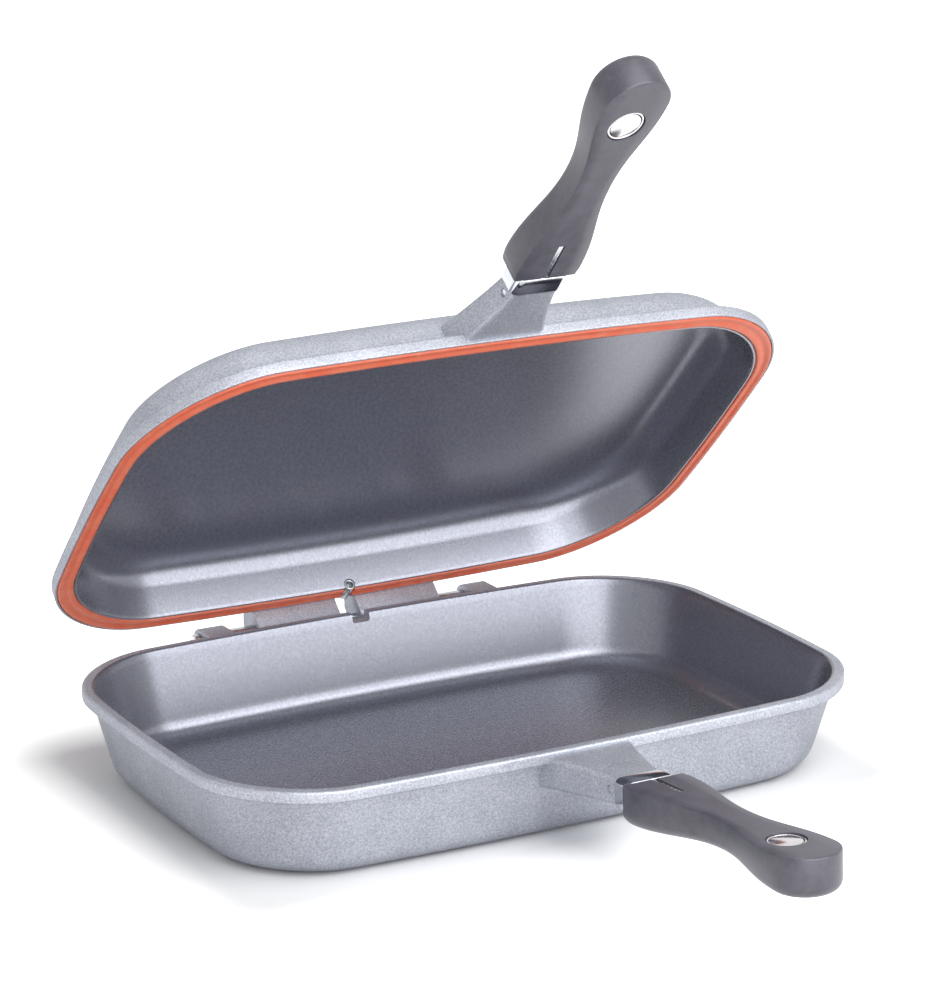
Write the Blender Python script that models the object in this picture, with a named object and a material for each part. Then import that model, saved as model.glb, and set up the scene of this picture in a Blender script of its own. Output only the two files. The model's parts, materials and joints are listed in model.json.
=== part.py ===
"""Double sided flip pan: two shallow cast pans joined by a rear hinge, each with its own long grip.

Everything is in metres, with +Z up. X runs along the pans' long side and the grips point towards -Y.
The origin is the centre of the lower pan's flat base. The upper pan is drawn shut, in the same frame as
the lower one, and an empty on the hinge pin's axis then turns it to the opening at which the pan stands.
"""

import math
from typing import NamedTuple

import bmesh
import bpy
from mathutils import Matrix, Vector

# The pans, seen from above
RIM_LENGTH = 0.319
RIM_DEPTH = 0.208
LOWER_CORNER_RADIUS = 0.046
UPPER_CORNER_RADIUS = 0.055
LONG_SIDE_BOW = 0.006
SHORT_SIDE_BOW = 0.0055
RIM_OVERHANG = 0.0035
CORNER_CLOSING_SHARE = 0.6

# The pans, in section
LOWER_BOWL_DEPTH = 0.043
UPPER_BOWL_DEPTH = 0.0286
LOWER_RIM_WIDTH = 0.0050
FLANGE_HEIGHT = 0.0055
WALL = 0.0024
FLOOR = 0.0035
LOWER_BASE_RADIUS = 0.012
UPPER_BASE_RADIUS = 0.017
EDGE_ROUND = 0.0006
WALL_DRAFT = math.radians(13.8)

# The seal between the rims
RIM_GAP = 0.0010
GASKET_WIDTH = 0.0068
GASKET_SETBACK = 0.0012
GROOVE_DEPTH = 0.0020
GROOVE_LIP = 0.0009
VENT_RADIUS = 0.0025
VENT_BORE_RADIUS = 0.0018
VENT_PROUD = 0.0010
DRAIN_WIDTH = 0.009
DRAIN_DEPTH = 0.0042

# The hinge
HINGE_SETBACK = 0.0098
HINGE_DROP = 0.007
OPENING = math.radians(46.2)
KNUCKLE_RADIUS = 0.0068
PIN_RADIUS = 0.002
EAR_OUTER = 0.076
EAR_WIDTH = 0.013
EAR_GUSSET = 0.004
BARREL_OUTER = 0.048
BARREL_GAP = 0.010
BARREL_CHAMFER = 0.0035
SPACER_RADIUS = 0.0045
CAP_RADIUS = 0.0048
CAP_THICKNESS = 0.0028
CAP_DOME = 0.0012

# The handles: distances run outwards from the pan's front edge or from the grip's root
HANDLE_ROOT = 0.047
HANDLE_TILT = math.radians(3.9)
HANDLE_PLANE = 0.0008
MATING_CLEARANCE = 0.0002
LUG_LENGTH = 0.037
LUG_ROOT_WIDTH = 0.044
LUG_TIP_WIDTH = 0.0215
LUG_ROOT_HEIGHT = 0.0155
LUG_TIP_HEIGHT = 0.0125
LUG_ROOT_DROP = 0.0020
LUG_CLEARANCE = 0.0006
LUG_CHAMFER = 0.0020
FLARE_POWER = 1.25
SPIGOT_WIDTH = 0.016
SPIGOT_HEIGHT = 0.0090
GUARD_WIDTH = 0.0245
GUARD_HEIGHT = 0.0130
GUARD_ROUND = 0.0012
TANG_THICKNESS = 0.0024
TANG_HEIGHT = 0.0070
TANG_DEPTH = 0.0030
TANG_IN_LUG = 0.019
TANG_IN_GRIP = 0.028
TANG_PIN_RADIUS = 0.00175
TANG_PIN_PLACE = 0.0145
TANG_PIN_RECESS = 0.0004

# The grips, in plan and in section
GRIP_LENGTH = 0.1195
GRIP_ROOT_WIDTH = 0.029
GRIP_SHOULDER_WIDTH = 0.0302
GRIP_SHOULDER_PLACE = 0.0055
GRIP_NECK_WIDTH = 0.0168
GRIP_NECK_PLACE = 0.058
GRIP_TIP_RADIUS = 0.0150
GRIP_THICKNESS = 0.0166
GRIP_WAIST = 0.0036
GRIP_OUTER_ROUND = 0.0045
GRIP_MATING_ROUND = 0.0008
SLOT_LENGTH = 0.021
SCREW_PLACE = 0.016
SCREW_SEAT = 0.0100
SCREW_RADIUS = 0.0015
SCREW_HEAD_RADIUS = 0.0031
SCREW_HEAD_HEIGHT = 0.0022
SCREW_REACH = 0.0055
MAGNET_INSET = 0.0258
MAGNET_RADIUS = 0.0066
MAGNET_HEIGHT = 0.0034
CUP_RADIUS = 0.0079
CUP_BASE = 0.0010
CUP_RECESS = 0.0006

# Fits
CLEARANCE = 0.0003
RUNNING_CLEARANCE = 0.0001
OVERRUN = 0.002
WELD_DISTANCE = 0.00001

# How finely round shapes are drawn
CORNER_STEPS = 7
LONG_SIDE_STEPS = 6
SHORT_SIDE_STEPS = 4
ARC_STEPS = 4
ROUND_STEPS = 24
SMALL_ROUND_STEPS = 16
KNUCKLE_STEPS = 12
FLARE_STEPS = 5
OUTLINE_STEPS = 6
OUTER_ROUND_STEPS = 3
WAIST_STEPS = 8
SHARP_ANGLE = math.radians(35)
FLAT_ANGLE = math.radians(0.5)

# Parts of a section's half width and half height at which the soft bead of the gasket turns
BEAD_SHARES = ((1.0, 0.45), (0.76, 0.12), (0.34, 0.0))
# How far each handle of the grip's outline reaches, as a share of the distance to the next point
GRIP_HANDLE_SHARE = 0.42
ROUND_HANDLE_SHARE = 0.5523


class Pan(NamedTuple):
    """One cast pan. Its bowl lies on the side of the rims that side gives: -1 below, 1 above."""

    length: float
    depth: float
    corner: float
    rim_width: float
    bowl_depth: float
    base_radius: float
    face: float
    side: int


UPPER_RIM_WIDTH = GASKET_SETBACK + GASKET_WIDTH + CLEARANCE + GROOVE_LIP
LOWER = Pan(
    RIM_LENGTH,
    RIM_DEPTH,
    LOWER_CORNER_RADIUS,
    LOWER_RIM_WIDTH,
    LOWER_BOWL_DEPTH,
    LOWER_BASE_RADIUS,
    0.0,
    -1,
)
UPPER = Pan(
    RIM_LENGTH + 2 * RIM_OVERHANG,
    RIM_DEPTH + 2 * RIM_OVERHANG,
    UPPER_CORNER_RADIUS,
    UPPER_RIM_WIDTH,
    UPPER_BOWL_DEPTH,
    UPPER_BASE_RADIUS,
    RIM_GAP,
    1,
)
HINGE_Y = RIM_DEPTH / 2 + HINGE_SETBACK
HINGE_Z = -HINGE_DROP
EAR_INNER = EAR_OUTER - EAR_WIDTH


# Collections, frames and materials

def emptied_scene():
    """Removes what the file opened with, and gives the collections for parts and for cutters."""
    for old in list(bpy.data.objects):
        bpy.data.objects.remove(old, do_unlink=True)
    parts = bpy.data.collections.new("double_sided_flip_pan")
    cutters = bpy.data.collections.new("cutters")
    for collection in (parts, cutters):
        bpy.context.scene.collection.children.link(collection)
    return parts, cutters


PARTS, CUTTERS = emptied_scene()


def frame(name, parent, location, rotation=(0, 0, 0)):
    """An empty that carries pieces."""
    empty = bpy.data.objects.new(name, None)
    empty.parent = parent
    empty.location = location
    empty.rotation_euler = rotation
    PARTS.objects.link(empty)
    return empty


LOWER_FRAME = frame("lower_rim", None, (0, 0, LOWER_BOWL_DEPTH))
HINGE_AXIS = frame("hinge_axis", LOWER_FRAME, (0, HINGE_Y, HINGE_Z), (-OPENING, 0, 0))
UPPER_FRAME = frame("upper_rim", HINGE_AXIS, (0, -HINGE_Y, -HINGE_Z))
HANDLE_PLACE = (0, -RIM_DEPTH / 2 - HANDLE_ROOT, HANDLE_PLANE)
HANDLE_TURN = (HANDLE_TILT, 0, math.pi)
LOWER_HANDLE = frame("lower_handle", LOWER_FRAME, HANDLE_PLACE, HANDLE_TURN)
UPPER_HANDLE = frame("upper_handle", UPPER_FRAME, HANDLE_PLACE, HANDLE_TURN)


def material(name, colour, roughness, metallic=0.0):
    """A Principled material of one linear colour."""
    made = bpy.data.materials.new(name)
    made.use_nodes = True
    shader = made.node_tree.nodes["Principled BSDF"]
    shader.inputs["Base Color"].default_value = (*colour, 1.0)
    shader.inputs["Roughness"].default_value = roughness
    shader.inputs["Metallic"].default_value = metallic
    return made


COATING = material("sprayed_aluminium_coating", (0.48, 0.50, 0.56), 0.42, 0.35)
STEEL = material("bright_steel", (0.62, 0.63, 0.65), 0.22, 1.0)
CHROME = material("chromed_steel", (0.72, 0.74, 0.76), 0.08, 1.0)
NICKEL = material("nickel_plate", (0.80, 0.79, 0.83), 0.15, 1.0)
BAKELITE = material("bakelite", (0.10, 0.10, 0.12), 0.38)
SILICONE = material("red_silicone", (0.72, 0.10, 0.06), 0.50)


# Turning meshes into parts and cutters

def as_object(name, mesh, parent, collection):
    """An object of a finished bmesh, with its faces turned outwards and its round faces smooth."""
    bmesh.ops.recalc_face_normals(mesh, faces=mesh.faces)
    data = bpy.data.meshes.new(name)
    mesh.to_mesh(data)
    mesh.free()
    data.shade_smooth()
    data.set_sharp_from_angle(angle=SHARP_ANGLE)
    made = bpy.data.objects.new(name, data)
    made.parent = parent
    collection.objects.link(made)
    return made


def part(name, mesh, parent, look):
    made = as_object(name, mesh, parent, PARTS)
    made.data.materials.append(look)
    return made


def shape(target, name, mesh, operation, parent=None):
    """Cuts a mesh from a part, or joins it on, in the part's own frame unless another is given."""
    tool = as_object(f"{target.name}_{name}", mesh, parent or target.parent, CUTTERS)
    tool.hide_render = True
    tool.display_type = "WIRE"
    change = target.modifiers.new(name, "BOOLEAN")
    change.operation = operation
    change.object = tool


def cut(target, name, mesh, parent=None):
    shape(target, name, mesh, "DIFFERENCE", parent)


def join(target, name, mesh, parent=None):
    shape(target, name, mesh, "UNION", parent)


def box(low, high):
    """A block between two corners."""
    low, high = Vector(low), Vector(high)
    mesh = bmesh.new()
    matrix = Matrix.Translation((low + high) / 2) @ Matrix.Diagonal((*(high - low), 1))
    bmesh.ops.create_cube(mesh, size=1, matrix=matrix)
    return mesh


def rod(radius, start, end, steps=ROUND_STEPS):
    """A cylinder whose axis runs from start to end."""
    start, end = Vector(start), Vector(end)
    turn = Vector((0, 0, 1)).rotation_difference(end - start).to_matrix().to_4x4()
    mesh = bmesh.new()
    bmesh.ops.create_cone(
        mesh,
        cap_ends=True,
        segments=steps,
        radius1=radius,
        radius2=radius,
        depth=(end - start).length,
        matrix=Matrix.Translation((start + end) / 2) @ turn,
    )
    return mesh


def loft(rings, ring_shaped=False):
    """A skin through rings of equally many points: capped at its ends, or joined last to first."""
    mesh = bmesh.new()
    loops = [[mesh.verts.new(point) for point in ring] for ring in rings]
    pairs = list(zip(loops, loops[1:]))
    if ring_shaped:
        pairs.append((loops[-1], loops[0]))
    else:
        mesh.faces.new(loops[0])
        mesh.faces.new(loops[-1])
    for first, second in pairs:
        for index, corner in enumerate(first):
            after = (index + 1) % len(first)
            mesh.faces.new((corner, first[after], second[after], second[index]))
    return mesh


def prism(section, start, end):
    """A solid of one (y, z) section along X."""
    return loft([[(x, y, z) for y, z in section] for x in (start, end)])


# The pans' outline and wall

def outline(pan, inset):
    """Points round the pan at an inset from its rim's edge: round corners, and sides that bow out."""
    half_length = pan.length / 2 - inset
    half_depth = pan.depth / 2 - inset
    radius = pan.corner - CORNER_CLOSING_SHARE * inset
    flat_x = half_length - SHORT_SIDE_BOW - radius
    flat_y = half_depth - LONG_SIDE_BOW - radius
    corners = ((1, 1), (-1, 1), (-1, -1), (1, -1))
    points = []
    for index, (sign_x, sign_y) in enumerate(corners):
        for step in range(CORNER_STEPS + 1):
            angle = math.pi / 2 * (index + step / CORNER_STEPS)
            x = sign_x * flat_x + radius * math.cos(angle)
            y = sign_y * flat_y + radius * math.sin(angle)
            points.append((x, y))
        after_x, after_y = corners[(index + 1) % len(corners)]
        end = (
            after_x * flat_x + radius * math.cos(angle),
            after_y * flat_y + radius * math.sin(angle),
        )
        steps = LONG_SIDE_STEPS if index % 2 == 0 else SHORT_SIDE_STEPS
        start = points[-1]
        for step in range(1, steps):
            share = step / steps
            points.append(tuple(a + share * (b - a) for a, b in zip(start, end)))
    return [bowed(x, y, half_length, half_depth) for x, y in points]


def bowed(x, y, half_length, half_depth):
    """Moves a point of the straight-sided outline out by the bow of its two sides."""
    along = 1 - (x / half_length) ** 2
    across = 1 - (y / half_depth) ** 2
    share_x = x / (half_length - SHORT_SIDE_BOW)
    share_y = y / (half_depth - LONG_SIDE_BOW)
    return (
        x + math.copysign(SHORT_SIDE_BOW, x) * across * share_x**2,
        y + math.copysign(LONG_SIDE_BOW, y) * along * share_y**2,
    )


def ring(pan, inset, depth):
    """The outline at an inset, as points at a depth from the pan's rim face."""
    return [(x, y, pan.face + pan.side * depth) for x, y in outline(pan, inset)]


def side_y(pan, inset, x=0.0):
    """How far the long side stands from the pan's middle, at an inset and at an x."""
    half_length = pan.length / 2 - inset
    return pan.depth / 2 - inset - LONG_SIDE_BOW * (x / half_length) ** 2


def inner_inset(pan, depth):
    """The inset of the bowl's inner wall at a depth from the rim face."""
    return pan.rim_width + depth * math.tan(WALL_DRAFT)


def outer_inset(pan, depth):
    return inner_inset(pan, depth) - WALL / math.cos(WALL_DRAFT)


def middle_inset(pan, depth):
    return (inner_inset(pan, depth) + outer_inset(pan, depth)) / 2


def wall_profile(inset, top, bottom, radius):
    """(inset, depth) down a drafted wall from top, and round the edge of the floor at bottom."""
    tangent = bottom - radius * (1 - math.sin(WALL_DRAFT))
    centre = inset + (tangent - top) * math.tan(WALL_DRAFT) + radius * math.cos(WALL_DRAFT)
    points = [(inset, top)]
    for step in range(ARC_STEPS + 1):
        angle = WALL_DRAFT + (math.pi / 2 - WALL_DRAFT) * step / ARC_STEPS
        points.append((centre - radius * math.cos(angle), bottom - radius * (1 - math.sin(angle))))
    return points


def pan_body(pan):
    """The cast shell: up the outside from the base, over the rim flange, and down the inside."""
    outside = wall_profile(
        outer_inset(pan, FLANGE_HEIGHT), FLANGE_HEIGHT, pan.bowl_depth, pan.base_radius
    )
    flange = [
        (EDGE_ROUND, FLANGE_HEIGHT),
        (0.0, FLANGE_HEIGHT - EDGE_ROUND),
        (0.0, EDGE_ROUND),
        (EDGE_ROUND, 0.0),
        (pan.rim_width - EDGE_ROUND, 0.0),
    ]
    inside = wall_profile(
        inner_inset(pan, EDGE_ROUND), EDGE_ROUND, pan.bowl_depth - FLOOR, pan.base_radius - WALL
    )
    profile = list(reversed(outside)) + flange + inside
    return loft([ring(pan, inset, depth) for inset, depth in profile])


# The cast lug that carries each handle

def handle_point(x, out, height):
    """A point of the handle's frame, given in the pans' frame."""
    turned = Matrix.Rotation(math.pi, 3, "Z") @ Matrix.Rotation(HANDLE_TILT, 3, "X")
    return Vector(HANDLE_PLACE) + turned @ Vector((x, out, height))


def lug_width(share):
    """The lug's width at a share of the way from the wall to its tip."""
    return LUG_TIP_WIDTH + (LUG_ROOT_WIDTH - LUG_TIP_WIDTH) * (1 - share) ** FLARE_POWER


def lug_section(pan, share):
    """The eight corners of the lug's section at a share of its length."""
    tip = [
        handle_point(0, LUG_LENGTH - HANDLE_ROOT, pan.side * height)
        for height in (LUG_CLEARANCE, LUG_CLEARANCE + LUG_TIP_HEIGHT)
    ]
    root = [
        Vector((0, -side_y(pan, middle_inset(pan, depth)), pan.face + pan.side * depth))
        for depth in (LUG_ROOT_DROP, LUG_ROOT_DROP + LUG_ROOT_HEIGHT)
    ]
    near, far = (start.lerp(end, share) for start, end in zip(root, tip))
    height = (far - near).length
    chamfer = LUG_CHAMFER / height
    half = lug_width(share) / 2
    corners = (
        (half - LUG_CHAMFER, 0.0),
        (half, chamfer),
        (half, 1 - chamfer),
        (half - LUG_CHAMFER, 1.0),
    )
    right = [near.lerp(far, way) + Vector((x, 0, 0)) for x, way in corners]
    left = [near.lerp(far, way) - Vector((x, 0, 0)) for x, way in reversed(corners)]
    return right + left


def add_handle_lug(body, pan, handle):
    """Joins the flared lug and its spigot to the pan, and cuts the pocket and pin hole for the tang."""
    sections = [lug_section(pan, step / FLARE_STEPS) for step in range(FLARE_STEPS + 1)]
    join(body, "lug", loft(sections))
    middle = pan.side * (LUG_CLEARANCE + LUG_TIP_HEIGHT / 2)
    tip = LUG_LENGTH - HANDLE_ROOT
    join(
        body,
        "spigot",
        box(
            (-SPIGOT_WIDTH / 2, tip - OVERRUN, middle - SPIGOT_HEIGHT / 2),
            (SPIGOT_WIDTH / 2, -CLEARANCE, middle + SPIGOT_HEIGHT / 2),
        ),
        handle,
    )
    slot = TANG_THICKNESS / 2 + CLEARANCE
    low, high = tang_heights(pan)
    cut(
        body,
        "tang_pocket",
        box(
            (-slot, -TANG_IN_LUG - CLEARANCE, low - CLEARANCE),
            (slot, OVERRUN, high + CLEARANCE),
        ),
        handle,
    )
    across = LUG_ROOT_WIDTH / 2
    pin = (-TANG_PIN_PLACE, (low + high) / 2)
    cut(
        body,
        "tang_pin_hole",
        rod(TANG_PIN_RADIUS + RUNNING_CLEARANCE, (-across, *pin), (across, *pin), SMALL_ROUND_STEPS),
        handle,
    )


def tang_heights(pan):
    """The tang's two edges, lowest first, as heights in the handle's frame."""
    near = pan.side * TANG_DEPTH
    return sorted((near, near + pan.side * TANG_HEIGHT))


# The pans

def make_lower_pan():
    """The lower casting: ears for the hinge pin, the handle's lug and a drain notch in the rear rim."""
    body = part("lower_pan", pan_body(LOWER), LOWER_FRAME, COATING)
    for side, start, end in (("left", -EAR_OUTER, -EAR_INNER), ("right", EAR_INNER, EAR_OUTER)):
        join(body, f"ear_{side}", prism(ear_section(), start, end))
    across = EAR_OUTER + OVERRUN
    cut(body, "pin_hole", pin_line(PIN_RADIUS + RUNNING_CLEARANCE, -across, across))
    rear = side_y(LOWER, 0.0)
    cut(
        body,
        "drain",
        box(
            (-DRAIN_WIDTH / 2, rear - LOWER_RIM_WIDTH - DRAIN_DEPTH, -DRAIN_DEPTH),
            (DRAIN_WIDTH / 2, rear + OVERRUN, OVERRUN),
        ),
    )
    add_handle_lug(body, LOWER, LOWER_HANDLE)


def pin_line(radius, start, end, steps=ROUND_STEPS):
    """A rod on the hinge's axis."""
    return rod(radius, (start, HINGE_Y, HINGE_Z), (end, HINGE_Y, HINGE_Z), steps)


def knuckle_arc(start, end):
    """Points round the hinge's axis from one angle to another, in degrees from +Y."""
    points = []
    for step in range(KNUCKLE_STEPS + 1):
        angle = math.radians(start + (end - start) * step / KNUCKLE_STEPS)
        points.append(
            (HINGE_Y + KNUCKLE_RADIUS * math.cos(angle), HINGE_Z + KNUCKLE_RADIUS * math.sin(angle))
        )
    return points


def ear_section():
    """An ear from inside the lower pan's rear wall, round the pin and back under a gusset."""
    ear_middle = (EAR_OUTER + EAR_INNER) / 2
    top = HINGE_DROP - KNUCKLE_RADIUS
    foot = HINGE_DROP + KNUCKLE_RADIUS + EAR_GUSSET
    in_wall = [
        (side_y(LOWER, middle_inset(LOWER, depth), ear_middle), -depth) for depth in (foot, top)
    ]
    return in_wall + knuckle_arc(90, -90)


def barrel_section():
    """The upper pan's hinge barrel: round the pin, then up behind the lower rim into the flange."""
    flange_top = UPPER.face + FLANGE_HEIGHT
    in_flange = side_y(UPPER, UPPER.rim_width / 2)
    behind_rim = HINGE_Y - KNUCKLE_RADIUS
    back = HINGE_Y + KNUCKLE_RADIUS
    return knuckle_arc(-180, 0) + [
        (back, flange_top - BARREL_CHAMFER - EDGE_ROUND),
        (back - BARREL_CHAMFER, flange_top - EDGE_ROUND),
        (in_flange, flange_top - EDGE_ROUND),
        (in_flange, UPPER.face + GROOVE_DEPTH + CLEARANCE),
        (behind_rim, UPPER.face + EDGE_ROUND),
    ]


def groove_section():
    """(inset, depth) round the seal's groove, out past the rim face."""
    outer = GASKET_SETBACK - CLEARANCE
    inner = GASKET_SETBACK + GASKET_WIDTH + CLEARANCE
    return [(outer, GROOVE_DEPTH), (inner, GROOVE_DEPTH), (inner, -OVERRUN), (outer, -OVERRUN)]


def make_upper_pan():
    """The upper casting: hinge barrels, the groove for the seal, a vent bore and the handle's lug."""
    body = part("upper_pan", pan_body(UPPER), UPPER_FRAME, COATING)
    gap = BARREL_GAP / 2
    for side, start, end in (("left", -BARREL_OUTER, -gap), ("right", gap, BARREL_OUTER)):
        join(body, f"barrel_{side}", prism(barrel_section(), start, end))
    across = BARREL_OUTER + OVERRUN
    cut(body, "pin_hole", pin_line(PIN_RADIUS + RUNNING_CLEARANCE, -across, across))
    add_handle_lug(body, UPPER, UPPER_HANDLE)
    groove = groove_section()
    cut(body, "groove", loft([ring(UPPER, *point) for point in groove], ring_shaped=True))
    cut(body, "vent_bore", vent_rod(VENT_RADIUS + CLEARANCE, OVERRUN))


def vent_rod(radius, overrun, steps=SMALL_ROUND_STEPS):
    """A rod through the upper pan's rear rim, on the steam vent's axis."""
    height = UPPER.face - VENT_PROUD + VENT_RADIUS
    inner = side_y(UPPER, inner_inset(UPPER, height - UPPER.face)) - overrun
    outer = side_y(UPPER, 0.0) + EDGE_ROUND + overrun
    return rod(radius, (0, inner, height), (0, outer, height), steps)


def make_steam_vent():
    """A short steel tube that lets steam out through the gap in the gasket."""
    tube = part("steam_vent_tube", vent_rod(VENT_RADIUS, 0.0), UPPER_FRAME, STEEL)
    cut(tube, "bore", vent_rod(VENT_BORE_RADIUS, OVERRUN))


def make_gasket():
    """The red seal: flat in its groove, a soft bead towards the lower rim, open at the steam vent."""
    half = GASKET_WIDTH / 2
    middle = GASKET_SETBACK + half
    back = GROOVE_DEPTH - CLEARANCE
    front = CLEARANCE - RIM_GAP
    section = [(middle - half, back), (middle + half, back)]
    for side, shares in ((1, BEAD_SHARES), (-1, tuple(reversed(BEAD_SHARES)))):
        for across, rise in shares:
            section.append((middle + side * half * across, front * (1 - rise)))
    band = loft([ring(UPPER, *point) for point in section], ring_shaped=True)
    seal = part("gasket", band, UPPER_FRAME, SILICONE)
    gap = VENT_RADIUS + CLEARANCE
    rear = side_y(UPPER, 0.0)
    cut(
        seal,
        "vent_gap",
        box(
            (-gap, rear - UPPER.rim_width, -OVERRUN),
            (gap, rear + OVERRUN, UPPER.face + GROOVE_DEPTH + OVERRUN),
        ),
    )


# The hinge's loose pieces

def make_hinge():
    """The pin with a pressed cap on each end, and the two spacers that centre the upper barrels."""
    end = EAR_OUTER + CLEARANCE + CAP_THICKNESS - CAP_DOME
    part("hinge_pin", pin_line(PIN_RADIUS, -end, end), LOWER_FRAME, STEEL)
    bore = PIN_RADIUS + RUNNING_CLEARANCE
    for name, side in (("left", -1), ("right", 1)):
        start = side * (EAR_OUTER + CLEARANCE)
        cap = part(f"hinge_cap_{name}", cap_body(side, start), LOWER_FRAME, STEEL)
        cut(cap, "bore", pin_line(bore, start - side * OVERRUN, side * (end + CLEARANCE)))
        inner = side * (BARREL_OUTER + CLEARANCE)
        outer = side * (EAR_INNER - CLEARANCE)
        spacer = part(
            f"hinge_spacer_{name}", pin_line(SPACER_RADIUS, inner, outer), LOWER_FRAME, STEEL
        )
        cut(spacer, "bore", pin_line(bore, inner - side * OVERRUN, outer + side * OVERRUN))


def cap_body(side, start):
    """A pressed cap with a domed outer face."""
    mesh = pin_line(CAP_RADIUS, start, start + side * CAP_THICKNESS, SMALL_ROUND_STEPS)
    outer = start + side * CAP_THICKNESS
    rim = [edge for edge in mesh.edges if all(abs(v.co.x - outer) < CLEARANCE for v in edge.verts)]
    bmesh.ops.bevel(mesh, geom=rim, offset=CAP_DOME, segments=2, profile=0.5, affect="EDGES")
    return mesh


# The handles

def grip_outline():
    """The grip in plan, as a flat curve: broad root, narrow neck and round tip."""
    tip = GRIP_LENGTH - GRIP_TIP_RADIUS
    at_root = GRIP_HANDLE_SHARE * GRIP_SHOULDER_PLACE
    to_neck = GRIP_HANDLE_SHARE * (GRIP_NECK_PLACE - GRIP_SHOULDER_PLACE)
    to_tip = GRIP_HANDLE_SHARE * (tip - GRIP_NECK_PLACE)
    round_tip = ROUND_HANDLE_SHARE * GRIP_TIP_RADIUS
    side = [
        (GRIP_ROOT_WIDTH / 2, CLEARANCE, 0.0, at_root),
        (GRIP_SHOULDER_WIDTH / 2, GRIP_SHOULDER_PLACE, at_root, to_neck),
        (GRIP_NECK_WIDTH / 2, GRIP_NECK_PLACE, to_neck, to_tip),
        (GRIP_TIP_RADIUS, tip, to_tip, round_tip),
    ]
    places = [((x, y), (x, y - before), (x, y + after)) for x, y, before, after in side]
    places.append(((0.0, GRIP_LENGTH), (round_tip, GRIP_LENGTH), (-round_tip, GRIP_LENGTH)))
    places += [((-x, y), (-x, y + after), (-x, y - before)) for x, y, before, after in reversed(side)]
    curve = bpy.data.curves.new("grip_outline", "CURVE")
    curve.dimensions = "2D"
    curve.fill_mode = "BOTH"
    curve.resolution_u = OUTLINE_STEPS
    spline = curve.splines.new("BEZIER")
    spline.use_cyclic_u = True
    spline.bezier_points.add(len(places) - 1)
    for point, (place, before, after) in zip(spline.bezier_points, places):
        point.handle_left_type = "FREE"
        point.handle_right_type = "FREE"
        point.co = (*place, 0)
        point.handle_left = (*before, 0)
        point.handle_right = (*after, 0)
    return curve


def grip_body(pan):
    """The grip in the handle's frame: flat where the grips meet, waisted and rounded on the outside."""
    curve = grip_outline()
    curve.extrude = GRIP_THICKNESS / 2
    drawn = bpy.data.objects.new("grip_outline", curve)
    CUTTERS.objects.link(drawn)
    data = bpy.data.meshes.new_from_object(drawn.evaluated_get(bpy.context.evaluated_depsgraph_get()))
    bpy.data.objects.remove(drawn)
    mesh = bmesh.new()
    mesh.from_mesh(data)
    bpy.data.meshes.remove(data)
    bmesh.ops.remove_doubles(mesh, verts=mesh.verts, dist=WELD_DISTANCE)
    bmesh.ops.dissolve_limit(mesh, angle_limit=FLAT_ANGLE, verts=mesh.verts, edges=mesh.edges)
    lift = pan.side * (MATING_CLEARANCE + GRIP_THICKNESS / 2)
    bmesh.ops.translate(mesh, verts=mesh.verts, vec=(0, 0, lift))
    near = pan.side * MATING_CLEARANCE
    far = near + pan.side * GRIP_THICKNESS
    outer_face = next(face for face in mesh.faces if face.normal.z * pan.side > math.cos(FLAT_ANGLE))
    outer_loop = list(outer_face.edges)
    mating_loop = [edge for edge in mesh.edges if all_at(edge, near)]
    bmesh.ops.bevel(
        mesh, geom=mating_loop, offset=GRIP_MATING_ROUND, segments=1, profile=0.5, affect="EDGES"
    )
    bmesh.ops.bevel(
        mesh,
        geom=outer_loop,
        offset=GRIP_OUTER_ROUND,
        segments=OUTER_ROUND_STEPS,
        profile=0.5,
        affect="EDGES",
    )
    for step in range(1, WAIST_STEPS):
        out = GRIP_LENGTH * step / WAIST_STEPS
        geometry = mesh.verts[:] + mesh.edges[:] + mesh.faces[:]
        bmesh.ops.bisect_plane(mesh, geom=geometry, plane_co=(0, out, 0), plane_no=(0, 1, 0))
    for vertex in mesh.verts:
        depth = abs(vertex.co.z - near) / GRIP_THICKNESS
        way = math.sin(math.pi * min(max(vertex.co.y / GRIP_LENGTH, 0), 1))
        vertex.co.z -= pan.side * GRIP_WAIST * way**2 * depth
    bmesh.ops.triangulate(mesh, faces=mesh.faces)
    return mesh


def all_at(edge, height):
    """Whether both ends of an edge lie at a height."""
    return all(abs(vertex.co.z - height) < WELD_DISTANCE for vertex in edge.verts)


def upright_rod(pan, radius, out, start, end, steps=ROUND_STEPS):
    """A rod square to the mating plane, from one depth below the mating face to another."""
    heights = (pan.side * (MATING_CLEARANCE + depth) for depth in (start, end))
    return rod(radius, *((0, out, height) for height in heights), steps)


def cross_rod(pan, radius, out, start, end, steps=SMALL_ROUND_STEPS):
    """A rod across the handle, at the middle of the tang's height."""
    height = sum(tang_heights(pan)) / 2
    return rod(radius, (start, out, height), (end, out, height), steps)


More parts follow.
